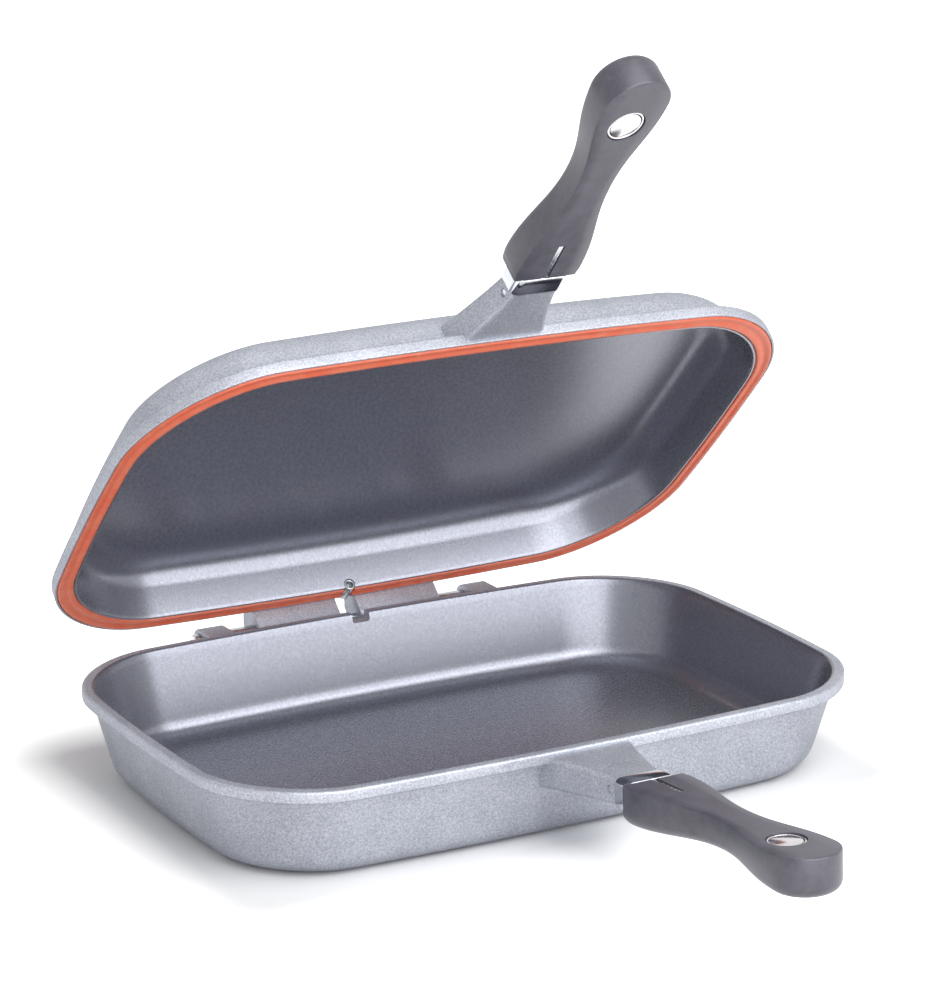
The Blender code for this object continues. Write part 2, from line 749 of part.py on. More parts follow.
def make_grip(pan, name, handle):
    """The moulded grip, cut for the tang, the cross screw and the magnet's cup."""
    grip = part(f"{name}_grip", grip_body(pan), handle, BAKELITE)
    slot = TANG_THICKNESS / 2 + CLEARANCE
    low, high = tang_heights(pan)
    cut(
        grip,
        "tang_pocket",
        box(
            (-slot, -OVERRUN, low - CLEARANCE),
            (slot, TANG_IN_GRIP + CLEARANCE, high + CLEARANCE),
        ),
    )
    mouth = sorted((-pan.side * OVERRUN, pan.side * (TANG_DEPTH + TANG_HEIGHT / 2)))
    cut(grip, "slot", box((-slot, -OVERRUN, mouth[0]), (slot, SLOT_LENGTH, mouth[1])))
    cut(
        grip,
        "screw_hole",
        cross_rod(
            pan,
            SCREW_RADIUS + CLEARANCE,
            SCREW_PLACE,
            -SCREW_SEAT - OVERRUN,
            SCREW_REACH + CLEARANCE,
        ),
    )
    cut(
        grip,
        "screw_seat",
        cross_rod(
            pan,
            SCREW_HEAD_RADIUS + CLEARANCE,
            SCREW_PLACE,
            -GRIP_SHOULDER_WIDTH / 2 - OVERRUN,
            -SCREW_SEAT + CLEARANCE,
        ),
    )
    pocket = CUP_RECESS + cup_height() + CLEARANCE
    cut(
        grip,
        "magnet_pocket",
        upright_rod(pan, CUP_RADIUS + CLEARANCE, magnet_place(), -OVERRUN, pocket),
    )


def magnet_place():
    return GRIP_LENGTH - MAGNET_INSET


def cup_height():
    return MAGNET_HEIGHT + CLEARANCE + CUP_BASE


def make_magnet(pan, name, handle):
    """The disc magnet that holds the grips together, in its steel cup."""
    place = magnet_place()
    floor = CUP_RECESS + MAGNET_HEIGHT
    part(f"{name}_magnet", upright_rod(pan, MAGNET_RADIUS, place, CUP_RECESS, floor), handle, NICKEL)
    cup = part(
        f"{name}_magnet_cup",
        upright_rod(pan, CUP_RADIUS, place, CUP_RECESS, CUP_RECESS + cup_height()),
        handle,
        NICKEL,
    )
    cut(cup, "bore", upright_rod(pan, MAGNET_RADIUS + CLEARANCE, place, -OVERRUN, floor + CLEARANCE))


def make_tang(pan, name, handle):
    """The steel strip on edge that ties the grip to the lug, and the pin and screw through it."""
    low, high = tang_heights(pan)
    half = TANG_THICKNESS / 2
    tang = part(
        f"{name}_tang", box((-half, -TANG_IN_LUG, low), (half, TANG_IN_GRIP, high)), handle, STEEL
    )
    across = half + OVERRUN
    cut(
        tang,
        "pin_hole",
        cross_rod(pan, TANG_PIN_RADIUS + RUNNING_CLEARANCE, -TANG_PIN_PLACE, -across, across),
    )
    cut(
        tang,
        "screw_hole",
        cross_rod(pan, SCREW_RADIUS + CLEARANCE, SCREW_PLACE, -across, across),
    )
    reach = lug_width((HANDLE_ROOT - TANG_PIN_PLACE) / LUG_LENGTH) / 2 - TANG_PIN_RECESS
    part(
        f"{name}_tang_pin",
        cross_rod(pan, TANG_PIN_RADIUS, -TANG_PIN_PLACE, -reach, reach),
        handle,
        STEEL,
    )
    screw = part(
        f"{name}_grip_screw",
        cross_rod(pan, SCREW_RADIUS, SCREW_PLACE, -SCREW_SEAT - OVERRUN / 2, SCREW_REACH),
        handle,
        STEEL,
    )
    join(
        screw,
        "head",
        cross_rod(pan, SCREW_HEAD_RADIUS, SCREW_PLACE, -SCREW_SEAT - SCREW_HEAD_HEIGHT, -SCREW_SEAT),
    )


def make_flame_guard(pan, name, handle):
    """The chromed collar between lug and grip, round the lug's spigot."""
    middle = pan.side * (LUG_CLEARANCE + LUG_TIP_HEIGHT / 2)
    start = LUG_LENGTH - HANDLE_ROOT + CLEARANCE
    shell = box(
        (-GUARD_WIDTH / 2, start, middle - GUARD_HEIGHT / 2),
        (GUARD_WIDTH / 2, 0, middle + GUARD_HEIGHT / 2),
    )
    bmesh.ops.bevel(
        shell, geom=shell.edges, offset=GUARD_ROUND, segments=2, profile=0.5, affect="EDGES"
    )
    guard = part(f"{name}_flame_guard", shell, handle, CHROME)
    width = SPIGOT_WIDTH / 2 + CLEARANCE
    height = SPIGOT_HEIGHT / 2 + CLEARANCE
    cut(
        guard,
        "mouth",
        box((-width, start - OVERRUN, middle - height), (width, OVERRUN, middle + height)),
    )


make_lower_pan()
make_upper_pan()
make_gasket()
make_steam_vent()
make_hinge()
for pan, name, handle in ((LOWER, "lower", LOWER_HANDLE), (UPPER, "upper", UPPER_HANDLE)):
    make_flame_guard(pan, name, handle)
    make_tang(pan, name, handle)
    make_grip(pan, name, handle)
    make_magnet(pan, name, handle)
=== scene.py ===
# %% [markdown]
# # Dressing a double sided flip pan
#
# Two shallow cast pans share one hinge along the back, a red seal lies between their rims, and each pan has
# its own long grip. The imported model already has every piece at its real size. This file keeps those places
# and gives each piece the smooth form and the finish of the real one.

# %% The frame
import json
import math

import bmesh
import bpy
from mathutils import Matrix, Vector


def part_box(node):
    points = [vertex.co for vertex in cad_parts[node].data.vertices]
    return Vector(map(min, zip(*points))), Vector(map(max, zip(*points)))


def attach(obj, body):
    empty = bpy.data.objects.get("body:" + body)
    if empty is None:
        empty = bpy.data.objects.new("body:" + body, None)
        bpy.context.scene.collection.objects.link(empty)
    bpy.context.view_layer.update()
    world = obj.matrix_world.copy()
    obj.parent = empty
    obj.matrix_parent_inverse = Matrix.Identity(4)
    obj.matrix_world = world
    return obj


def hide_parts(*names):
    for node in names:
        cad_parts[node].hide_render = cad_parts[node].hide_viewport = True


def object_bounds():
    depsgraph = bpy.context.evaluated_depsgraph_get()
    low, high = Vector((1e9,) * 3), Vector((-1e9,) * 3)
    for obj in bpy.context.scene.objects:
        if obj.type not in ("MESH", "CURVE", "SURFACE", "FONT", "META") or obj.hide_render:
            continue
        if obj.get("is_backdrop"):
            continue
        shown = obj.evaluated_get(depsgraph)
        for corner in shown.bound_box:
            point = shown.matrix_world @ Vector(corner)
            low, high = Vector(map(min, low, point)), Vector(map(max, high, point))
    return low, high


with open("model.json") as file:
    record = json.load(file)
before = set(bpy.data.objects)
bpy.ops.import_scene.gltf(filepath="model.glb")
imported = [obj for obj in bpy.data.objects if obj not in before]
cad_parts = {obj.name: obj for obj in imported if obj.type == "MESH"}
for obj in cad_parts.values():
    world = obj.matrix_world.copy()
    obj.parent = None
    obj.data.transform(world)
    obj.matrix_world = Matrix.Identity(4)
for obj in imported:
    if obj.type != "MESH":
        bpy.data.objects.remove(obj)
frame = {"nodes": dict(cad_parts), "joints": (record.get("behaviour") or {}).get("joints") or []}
cad_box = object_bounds()
print("nodes in the frame:", len(frame["nodes"]))

# %% [markdown]
# The upper pan is drawn shut, lying on the lower one, because there the two rims share one outline. One turn
# about the hinge pin then opens it. The pin's place and the opening are read from the frame's joint.

# %% Where the rims, the hinge and the handles are
JOINT = frame["joints"][0]
HINGE = Vector(JOINT["pos_m"])
OPENING = math.radians(-JOINT["range_deg"][0])
RIM_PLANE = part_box("lower_pan")[1].z
RIM_DEPTH = 0.208
# Where the handles' own frame is: how far in front of the rim, how much it leans, and its height.
HANDLE_ROOT = 0.047
HANDLE_TILT = math.radians(3.9)
HANDLE_PLANE = 0.0008

LOWER_PLACE = Matrix.Translation((0, 0, RIM_PLANE))
OPENED = Matrix.Translation(HINGE) @ Matrix.Rotation(-OPENING, 4, "X") @ Matrix.Translation(-HINGE)
UPPER_PLACE = OPENED @ LOWER_PLACE
HANDLE_PLACE = (
    Matrix.Translation((0, -RIM_DEPTH / 2 - HANDLE_ROOT, HANDLE_PLANE))
    @ Matrix.Rotation(math.pi, 4, "Z")
    @ Matrix.Rotation(HANDLE_TILT, 4, "X")
)
HINGE_AXIS = HINGE_Y, HINGE_Z = HINGE.y, HINGE.z - RIM_PLANE
print(f"opening {math.degrees(OPENING):.1f} degrees, hinge {HINGE_Z * 1000:.1f} mm from the rim's plane")

# %% [markdown]
# ## A few tools
#
# Every shape below is made with the operators that a hand would use. An operator works on what is selected,
# so each tool starts by selecting nothing and then picks faces by where they are.

# %% Selecting and editing
SHARP_EDGE = math.radians(35)
# A face looks along an axis when its normal reaches this far along it.
FACING = 0.9
MERGE_WITHIN = 0.000002


def select_only(piece=None):
    if bpy.context.mode != "OBJECT":
        bpy.ops.object.mode_set(mode="OBJECT")
    bpy.ops.object.select_all(action="DESELECT")
    if piece:
        piece.select_set(True)
        bpy.context.view_layer.objects.active = piece


def added(name):
    """Names the primitive that was just added."""
    piece = bpy.context.object
    piece.name = piece.data.name = name
    return piece


def pick_faces(piece, wanted):
    """Enters edit mode with only the wanted faces selected."""
    select_only(piece)
    bpy.ops.object.mode_set(mode="EDIT")
    bpy.ops.mesh.select_mode(type="FACE")
    bpy.ops.mesh.select_all(action="DESELECT")
    mesh = bmesh.from_edit_mesh(piece.data)
    for face in mesh.faces:
        face.select_set(wanted(face))
    bmesh.update_edit_mesh(piece.data)


def bore_through(piece, axis, wall):
    """Insets both end faces by the wall's thickness and bridges them through the piece."""
    pick_faces(piece, lambda face: abs(face.normal[axis]) > FACING)
    bpy.ops.mesh.inset(thickness=wall)
    bpy.ops.mesh.bridge_edge_loops()
    bpy.ops.object.mode_set(mode="OBJECT")


def bevel_edges(piece, width, segments=2):
    select_only(piece)
    rounding = piece.modifiers.new("rounding", "BEVEL")
    rounding.width = width
    rounding.segments = segments
    rounding.angle_limit = SHARP_EDGE
    bpy.ops.object.modifier_apply(modifier=rounding.name)


def combine(piece, tool, operation):
    """Cuts a tool from a piece or joins it on, and uses the tool up."""
    select_only(piece)
    change = piece.modifiers.new(operation.lower(), "BOOLEAN")
    change.operation = operation
    change.object = tool
    bpy.ops.object.modifier_apply(modifier=change.name)
    bpy.data.objects.remove(tool, do_unlink=True)


# %% [markdown]
# A pin, a bore, a pocket and a cutter each start as a rod or a block. The place goes into the mesh and not
# into the object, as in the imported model, so that patterns read in the object's coordinates stay put.

# %% Blocks, rods and finishing
ROD_TURNS = ((0, math.pi / 2, 0), (math.pi / 2, 0, 0), (0, 0, 0))
SMOOTH_UNDER = math.radians(32)


def placed(piece, matrix):
    """Moves the mesh itself, so that the object stays at the origin."""
    piece.data.transform(piece.matrix_basis)
    piece.matrix_basis = Matrix.Identity(4)
    piece.data.transform(matrix)
    if matrix.determinant() < 0:
        piece.data.flip_normals()
    return piece


def block(name, low, high):
    select_only()
    bpy.ops.mesh.primitive_cube_add(size=1)
    low, high = Vector(low), Vector(high)
    return placed(added(name), Matrix.Translation((low + high) / 2) @ Matrix.Diagonal((*(high - low), 1)))


def rod(name, radius, axis, centre, start, end, sides=32):
    """A rod along axis 0, 1 or 2, from start to end. The centre is its place on the other two."""
    place = list(centre)
    place.insert(axis, (start + end) / 2)
    select_only()
    bpy.ops.mesh.primitive_cylinder_add(
        vertices=sides, radius=radius, depth=abs(end - start), location=place, rotation=ROD_TURNS[axis]
    )
    return placed(added(name), Matrix.Identity(4))


def finished(piece, pan, node, slot):
    """Puts a piece on its pan, shades it, gives it the material of its slot, and hides the imported part that
    it stands for.
    """
    placed(piece, pan["place"])
    select_only(piece)
    bpy.ops.object.shade_smooth_by_angle(angle=SMOOTH_UNDER)
    if slot in LOOKS:
        piece.data.materials.append(LOOKS[slot])
    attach(piece, pan["body"])
    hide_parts(node)
    print(f"{piece.name}: {len(piece.data.polygons)} faces")


# %% [markdown]
# Castings, lugs and grips have a section that changes along the way, which a subdivided box follows badly.
# So each starts as a filled circle, whose points are moved to the first ring, and the face is extruded to
# the next ring, and so on. Every point keeps its number in an attribute, which the extrusion hands on.

# %% Extruding a circle through a row of rings
def reshape(piece, ring, coat=0):
    """Moves the selected points to the ring, and gives the new faces behind them their coat."""
    mesh = bmesh.from_edit_mesh(piece.data)
    order = mesh.verts.layers.int["order"]
    for vertex in mesh.verts:
        if vertex.select:
            vertex.co = ring[vertex[order]]
            for face in vertex.link_faces:
                if not face.select:
                    face.material_index = coat
    bmesh.update_edit_mesh(piece.data)


def numbered_circle(name, count, fill):
    select_only()
    bpy.ops.mesh.primitive_circle_add(vertices=count, fill_type=fill)
    piece = added(name)
    order = piece.data.attributes.new("order", "INT", "POINT")
    order.data.foreach_set("value", range(count))
    bpy.ops.object.mode_set(mode="EDIT")
    bpy.ops.mesh.select_mode(type="VERT")
    bpy.ops.mesh.select_all(action="SELECT")
    return piece


def colour_ends(piece, coats):
    """The first and last faces close the solid: one under the base, one on the inner floor."""
    mesh = bmesh.from_edit_mesh(piece.data)
    for face in mesh.faces:
        if len(face.verts) > 4:
            face.material_index = coats[-1] if face.select else coats[0]
    bmesh.update_edit_mesh(piece.data)


def join_ends():
    """Bridges the last edge of an open tube back to its first."""
    bpy.ops.mesh.select_all(action="DESELECT")
    bpy.ops.mesh.select_mode(type="EDGE")
    bpy.ops.mesh.select_non_manifold()
    bpy.ops.mesh.bridge_edge_loops()


def outward_normals():
    bpy.ops.mesh.select_all(action="SELECT")
    bpy.ops.mesh.remove_doubles(threshold=MERGE_WITHIN)
    bpy.ops.mesh.normals_make_consistent(inside=False)
    bpy.ops.object.mode_set(mode="OBJECT")


def through_rings(name, rings, looks=(), coats=(), band=False):
    """A closed solid or band through rings of equally many points, with a coat for each ring."""
    piece = numbered_circle(name, len(rings[0]), "NOTHING" if band else "NGON")
    for look in looks:
        piece.data.materials.append(look)
    reshape(piece, rings[0])
    for index, ring in enumerate(rings[1:], 1):
        bpy.ops.mesh.extrude_region_move()
        reshape(piece, ring, coats[index] if coats else 0)
    if coats:
        colour_ends(piece, coats)
    if band:
        join_ends()
    outward_normals()
    piece.data.attributes.remove(piece.data.attributes["order"])
    return piece


# %% [markdown]
# ## Materials
#
# Each one starts from what the real surface is. Colours are written as the hex values that a screen shows
# and turned to the linear numbers that the renderer adds up. A pattern varies the colour and the gloss
# together, because on a real coat the same unevenness does both, and a finer one raises the surface.

# %% Colours, nodes and finishes
STRETCH = {"interpolation_type": "SMOOTHSTEP", "From Min": 0.25, "From Max": 0.75}


def linear(hex_colour):
    """An sRGB hex colour as linear red, green, blue and alpha."""
    channels = [int(hex_colour[start : start + 2], 16) / 255 for start in (1, 3, 5)]
    return [c / 12.92 if c <= 0.04045 else ((c + 0.055) / 1.055) ** 2.4 for c in channels] + [1.0]


def add(tree, kind, settings=None, **links):
    """Adds a node, sets its properties and inputs, and links the outputs that are given to its inputs."""
    node = tree.nodes.new(kind)
    for key, value in (settings or {}).items():
        if hasattr(node, key):
            setattr(node, key, value)
        else:
            node.inputs[key].default_value = value
    for key, source in links.items():
        tree.links.new(source, node.inputs[key.replace("_", " ")])
    return node


def new_material(name, **values):
    """A material with its Principled shader, whose inputs are set by name."""
    made = bpy.data.materials.new(name)
    made.use_nodes = True
    shader = made.node_tree.nodes["Principled BSDF"]
    for key, value in values.items():
        shader.inputs[key.replace("_", " ")].default_value = value
    return made, made.node_tree, shader


def grain(tree, size, detail=2.0, roughness=0.5):
    """A pattern whose blots are about as large as size, in metres, read from the object's own coordinates."""
    where = add(tree, "ShaderNodeTexCoord")
    noise = {"Scale": 1 / size, "Detail": detail, "Roughness": roughness}
    return add(tree, "ShaderNodeTexNoise", noise, Vector=where.outputs["Object"]).outputs["Fac"]


def give_finish(tree, shader, pattern, tints, gloss, gloss_pattern=None, bumps=None):
    """Spreads two tints and two roughness values over a pattern. Bumps are (pattern, metres high, strength)."""
    share = add(tree, "ShaderNodeMapRange", STRETCH, Value=pattern)
    tint = add(tree, "ShaderNodeMix", {"data_type": "RGBA"}, Factor=share.outputs["Result"])
    tint.inputs[6].default_value, tint.inputs[7].default_value = (linear(colour) for colour in tints)
    tree.links.new(tint.outputs[2], shader.inputs["Base Color"])
    between = {**STRETCH, "To Min": gloss[0], "To Max": gloss[1]}
    source = pattern if gloss_pattern is None else gloss_pattern
    dull = add(tree, "ShaderNodeMapRange", between, Value=source)
    tree.links.new(dull.outputs["Result"], shader.inputs["Roughness"])
    if bumps:
        raised, height, strength = bumps
        bump = add(tree, "ShaderNodeBump", {"Strength": strength, "Distance": height}, Height=raised)
        tree.links.new(bump.outputs["Normal"], shader.inputs["Normal"])


# %% [markdown]
# The outside is die-cast aluminium with a sprayed and baked silver coating: flakes in a clear resin. It is
# half metal and half plastic to the eye, so it gleams softly and never mirrors. The spray leaves a fine
# orange peel, about a millimetre from crest to crest, and lies thicker in clouds of a couple of centimetres.

# %% Sprayed silver coating
ORANGE_PEEL = 0.0011
PEEL_HEIGHT = 0.00012
# Real flakes are a tenth of this. They are drawn this coarse so that the sparkle shows from a metre away.
FLAKES = 0.0008
FLAKE_SHARE = 0.78
CLOUDS = 0.018


def sprayed_coating():
    look, tree, shader = new_material(
        "sprayed_silver_coating",
        Metallic=0.4, IOR=1.5, Specular_IOR_Level=0.15, Specular_Tint=linear("#959595"),
    )
    clouds = grain(tree, CLOUDS, 3.0)
    both = add(tree, "ShaderNodeMix", {"Factor": FLAKE_SHARE}, A=clouds, B=grain(tree, FLAKES, 1.0))
    peel = (grain(tree, ORANGE_PEEL), PEEL_HEIGHT, 0.55)
    give_finish(tree, shader, both.outputs[0], ("#A2A6B2", "#D0D3DC"), (0.42, 0.48), clouds, peel)
    return look


# %% [markdown]
# The inside is a sprayed non-stick coating, dark grey with a little fleck. It is smoother than the outside,
# so its walls mirror the bright room as one long soft band. The two floors mirror each other and stay dark.

# %% Non-stick coating
FLECKS = 0.0012
FINE_PEEL = 0.0015
FINE_PEEL_HEIGHT = 0.00004


def non_stick():
    look, tree, shader = new_material("non_stick_coating", Metallic=0.62, IOR=1.5)
    peel = (grain(tree, FINE_PEEL), FINE_PEEL_HEIGHT, 0.04)
    give_finish(tree, shader, grain(tree, FLECKS, 1.0), ("#81838D", "#8C8E98"), (0.285, 0.265), bumps=peel)
    return look


# %% [markdown]
# Both bases are ground flat on a belt, so that they sit on the hob. Fine parallel marks are left in the bare
# metal, and make it pale and matte. A noise that is stretched along the base draws them.

# %% Ground aluminium
BELT_MARK_LENGTH = 0.08
BELT_MARK_WIDTH = 0.0009
BELT_MARK_DEPTH = 0.00003


def ground_aluminium(name, place):
    """The mapping takes the pan's own place away, so that the marks follow each base."""
    look, tree, shader = new_material(name, Metallic=1.0, Specular_Tint=linear("#CBCBCB"))
    where = add(tree, "ShaderNodeTexCoord")
    own = {
        "vector_type": "TEXTURE",
        "Location": place.to_translation(),
        "Rotation": place.to_euler(),
        "Scale": (BELT_MARK_LENGTH, BELT_MARK_WIDTH, BELT_MARK_LENGTH),
    }
    turned = add(tree, "ShaderNodeMapping", own, Vector=where.outputs["Object"])
    noise = add(tree, "ShaderNodeTexNoise", {"Scale": 1.0, "Detail": 3.0}, Vector=turned.outputs["Vector"])
    marks = noise.outputs["Fac"]
    bumps = (marks, BELT_MARK_DEPTH, 0.5)
    give_finish(tree, shader, marks, ("#8E9095", "#A3A5AA"), (0.60, 0.70), bumps=bumps)
    return look


# %% [markdown]
# The seal is moulded silicone: light goes a little way in, which softens its red, and its skin is satin. The
# grips are moulded phenolic resin, hard and charcoal grey, with a faint swirl and a dull gloss. The bright
# pieces are chromed, drawn or nickel-plated steel, and differ in how sharply they mirror and how warm they are.

# %% Seal, grips and bright metals
LIGHT_REACH = (0.003, 0.001, 0.0006)


def moulded_silicone():
    look, tree, shader = new_material(
        "moulded_silicone", IOR=1.41, Subsurface_Weight=0.08, Subsurface_Radius=LIGHT_REACH
    )
    skin = (grain(tree, 0.0009, 1.0), 0.00003, 0.3)
    give_finish(tree, shader, grain(tree, 0.006, 3.0), ("#FF7654", "#FF8F6F"), (0.40, 0.50), bumps=skin)
    return look


def phenolic_resin():
    look, tree, shader = new_material("phenolic_resin", IOR=1.6)
    skin = (grain(tree, 0.0008), 0.00005, 0.45)
    give_finish(tree, shader, grain(tree, 0.009, 6.0, 0.7), ("#464551", "#5F5E6B"), (0.34, 0.44), bumps=skin)
    return look


def bright_metal(name, tints, gloss, streak):
    """A turned, plated or drawn metal, whose tint and gloss vary along fine streaks."""
    look, tree, shader = new_material(name, Metallic=1.0)
    give_finish(tree, shader, grain(tree, streak, 3.0), tints, gloss)
    return look


COATING = sprayed_coating()
INSIDE = non_stick()
# What each of the record's material slots looks like. The castings get their three coats as they are drawn.
LOOKS = {
    "silicone": moulded_silicone(),
    "bakelite": phenolic_resin(),
    "chrome": bright_metal("chromed_steel", ("#BBBEC3", "#C8CBCF"), (0.07, 0.12), 0.004),
    "stainless_steel": bright_metal("drawn_stainless_steel", ("#BEC0C4", "#D0D2D5"), (0.20, 0.32), 0.0012),
    "nickel_plate": bright_metal("bright_nickel_plate", ("#DAD7D6", "#E6E3E6"), (0.12, 0.20), 0.0025),
}

# %% [markdown]
# ## The two castings
#
# A pan's outline is a rectangle with big round corners, and its sides bow out a little. The same outline is
# drawn at every height: the further down the drafted wall, the further in from the rim's edge.

# %% The outline at an inset from the rim's edge
RIM_LENGTH = 0.319
RIM_OVERHANG = 0.0035
LONG_SIDE_BOW = 0.006
SHORT_SIDE_BOW = 0.0055
CORNER_CLOSING_SHARE = 0.6
CORNER_STEPS = 20
SIDE_STEPS = (20, 12)

# The rim is the inset of the bowl's mouth, the bowl is its depth outside, the round joins wall and base, and
# the face is the rim's height over the shared plane. The side says whether the bowl goes down or up.
LOWER = {
    "length": RIM_LENGTH, "depth": RIM_DEPTH, "corner": 0.046, "rim": 0.0050, "bowl": 0.043,
    "round": 0.012, "face": 0.0, "side": -1, "body": "lower", "place": LOWER_PLACE,
    "ground": ground_aluminium("ground_base", LOWER_PLACE),
}
UPPER = {
    "length": RIM_LENGTH + 2 * RIM_OVERHANG, "depth": RIM_DEPTH + 2 * RIM_OVERHANG, "corner": 0.055,
    "rim": 0.0092, "bowl": 0.0286, "round": 0.017, "face": 0.0010, "side": 1, "body": "upper",
    "place": UPPER_PLACE, "ground": ground_aluminium("ground_top_base", UPPER_PLACE),
}


def bowed(x, y, half_length, half_depth):
    """Moves a point of the straight outline out by the bow of its two sides."""
    along = 1 - (x / half_length) ** 2
    across = 1 - (y / half_depth) ** 2
    share_x = x / (half_length - SHORT_SIDE_BOW)
    share_y = y / (half_depth - LONG_SIDE_BOW)
    return (
        x + math.copysign(SHORT_SIDE_BOW, x) * across * share_x**2,
        y + math.copysign(LONG_SIDE_BOW, y) * along * share_y**2,
    )


def rounded_rectangle(half_width, half_height, radius, steps=5):
    """Points round the four corners of a rectangle centred on (0, 0)."""
    points = []
    for index, (sign_x, sign_y) in enumerate(((1, 1), (-1, 1), (-1, -1), (1, -1))):
        for step in range(steps + 1):
            angle = math.pi / 2 * (index + step / steps)
            x = sign_x * (half_width - radius) + radius * math.cos(angle)
            y = sign_y * (half_height - radius) + radius * math.sin(angle)
            points.append((x, y))
    return points


def outline(pan, inset):
    """The corners, with more points along each side, so that the sides can bow."""
    half_length, half_depth = pan["length"] / 2 - inset, pan["depth"] / 2 - inset
    radius = pan["corner"] - CORNER_CLOSING_SHARE * inset
    corners = rounded_rectangle(half_length - SHORT_SIDE_BOW, half_depth - LONG_SIDE_BOW, radius, CORNER_STEPS)
    points = []
    for index, start in enumerate(corners, 1):
        points.append(start)
        if index % (CORNER_STEPS + 1) == 0:
            end = corners[index % len(corners)]
            steps = SIDE_STEPS[(index // (CORNER_STEPS + 1) - 1) % 2]
            for step in range(1, steps):
                points.append(tuple(a + (b - a) * step / steps for a, b in zip(start, end)))
    return [bowed(x, y, half_length, half_depth) for x, y in points]


def ring(pan, inset, depth):
    return [(x, y, pan["face"] + pan["side"] * depth) for x, y in outline(pan, inset)]


def side_y(pan, inset, x=0.0):
    """How far the long side stands from the middle, at an inset and an x."""
    return pan["depth"] / 2 - inset - LONG_SIDE_BOW * (x / (pan["length"] / 2 - inset)) ** 2


print("points in a ring:", len(outline(LOWER, 0.0)))

# %% [markdown]
# In section a casting is a thin wall that leans out, with a stout flange round the rim to keep it flat on
# the fire. Every edge that a hand meets is rounded. The upper rim also has the groove for the seal.
#
# Smooth shading blends the normals of neighbouring faces, so a long face beside a round looks bent. Holding
# rings close to each round keep the flat wall flat to the eye.

# %% The section of a casting, as (inset, depth) from the rim's edge
WALL_DRAFT = math.radians(13.8)
WALL = 0.0024
FLOOR = 0.0035
FLANGE_HEIGHT = 0.0055
RIM_ROUND = 0.0011
LIP_ROUND = 0.0004
FLANGE_FILLET = 0.0012
FOOT_WIDTH = 0.005
FOOT_HEIGHT = 0.0004
HOLDING_SHARES = (0.0, 0.05, 0.5, 0.95)
GASKET_SETBACK = 0.0012
GASKET_WIDTH = 0.0068
GROOVE_DEPTH = 0.0020
GAP = 0.0003
OUTSIDE_COAT, INSIDE_COAT, GROUND_COAT = 0, 1, 2


def inner_inset(pan, depth):
    return pan["rim"] + depth * math.tan(WALL_DRAFT)


def outer_inset(pan, depth):
    return inner_inset(pan, depth) - WALL / math.cos(WALL_DRAFT)


def arc(centre, radius, start, end, steps=5):
    """Points round a centre, from one angle to another in degrees; 90 is deeper, 0 is further in."""
    angles = [math.radians(start + (end - start) * step / steps) for step in range(steps + 1)]
    return [(centre[0] + radius * math.cos(a), centre[1] + radius * math.sin(a)) for a in angles]


def drafted_wall(inset, top, bottom, radius, steps=12):
    """Down a leaning wall and round into the floor."""
    tangent = bottom - radius * (1 - math.sin(WALL_DRAFT))
    centre = inset + (tangent - top) * math.tan(WALL_DRAFT) + radius * math.cos(WALL_DRAFT)
    end = centre - radius * math.cos(WALL_DRAFT)
    straight = [(inset + (end - inset) * share, top + (tangent - top) * share) for share in HOLDING_SHARES]
    return straight + arc((centre, bottom - radius), radius, 180 - math.degrees(WALL_DRAFT), 90, steps)


def casting_section(pan, grooved):
    """The section in steps from the base's middle to the floor's, each with the coat of what it draws."""
    shoulder = outer_inset(pan, FLANGE_HEIGHT + FLANGE_FILLET)
    outside = drafted_wall(shoulder, FLANGE_HEIGHT + FLANGE_FILLET, pan["bowl"], pan["round"])
    foot = outside[-1][0] + FOOT_WIDTH
    base = [(foot + 2 * FOOT_HEIGHT, pan["bowl"] - FOOT_HEIGHT), (foot, pan["bowl"])]
    fillet = arc((shoulder - FLANGE_FILLET, FLANGE_HEIGHT + FLANGE_FILLET), FLANGE_FILLET, 0, -90, 3)[1:]
    edge = LIP_ROUND if grooved else RIM_ROUND
    flange = arc((RIM_ROUND, FLANGE_HEIGHT - RIM_ROUND), RIM_ROUND, 90, 180) + arc((edge, edge), edge, 180, 270)
    groove = []
    if grooved:
        near = GASKET_SETBACK - GAP
        far = GASKET_SETBACK + GASKET_WIDTH + GAP
        groove = [(near, 0.0), (near, GROOVE_DEPTH), (far, GROOVE_DEPTH), (far, 0.0)]
    inner = arc((pan["rim"] - edge, edge), edge, 270, 360 - math.degrees(WALL_DRAFT))
    inner += drafted_wall(inner_inset(pan, 2 * edge), 2 * edge, pan["bowl"] - FLOOR, pan["round"] - WALL)
    outer_part = outside[::-1] + fillet + flange + groove
    rim_coat = INSIDE_COAT if grooved else OUTSIDE_COAT
    coats = [GROUND_COAT] * len(base) + [OUTSIDE_COAT] * len(outer_part) + [rim_coat]
    coats += [INSIDE_COAT] * (len(inner) - 1)
    return base + outer_part + inner, coats


def casting(name, pan, grooved=False):
    section, coats = casting_section(pan, grooved)
    rings = [ring(pan, *point) for point in section]
    return through_rings(name, rings, (COATING, INSIDE, pan["ground"]), coats)


# %% [markdown]
# ### Hinge ears and barrels
#
# The lower casting has two ears that hold the pin, and the upper one has two barrels that turn on it. Each
# is a flat section, drawn round the pin and back into the casting, and extruded to its width.

# %% Hinge sections in (y, z)
KNUCKLE_RADIUS = 0.0068
PIN_RADIUS = 0.002
PIN_PLAY = 0.0001
EAR_OUTER = 0.076
EAR_INNER = 0.063
EAR_GUSSET = 0.004
BARREL_OUTER = 0.048
BARREL_INNER = 0.005
BARREL_CHAMFER = 0.0035
KNUCKLE_STEPS = 24
SOFT_EDGE = 0.0006
OVERRUN = 0.002


def knuckle(start, end):
    """Points round the pin's axis between two angles."""
    return arc(HINGE_AXIS, KNUCKLE_RADIUS, start, end, KNUCKLE_STEPS)


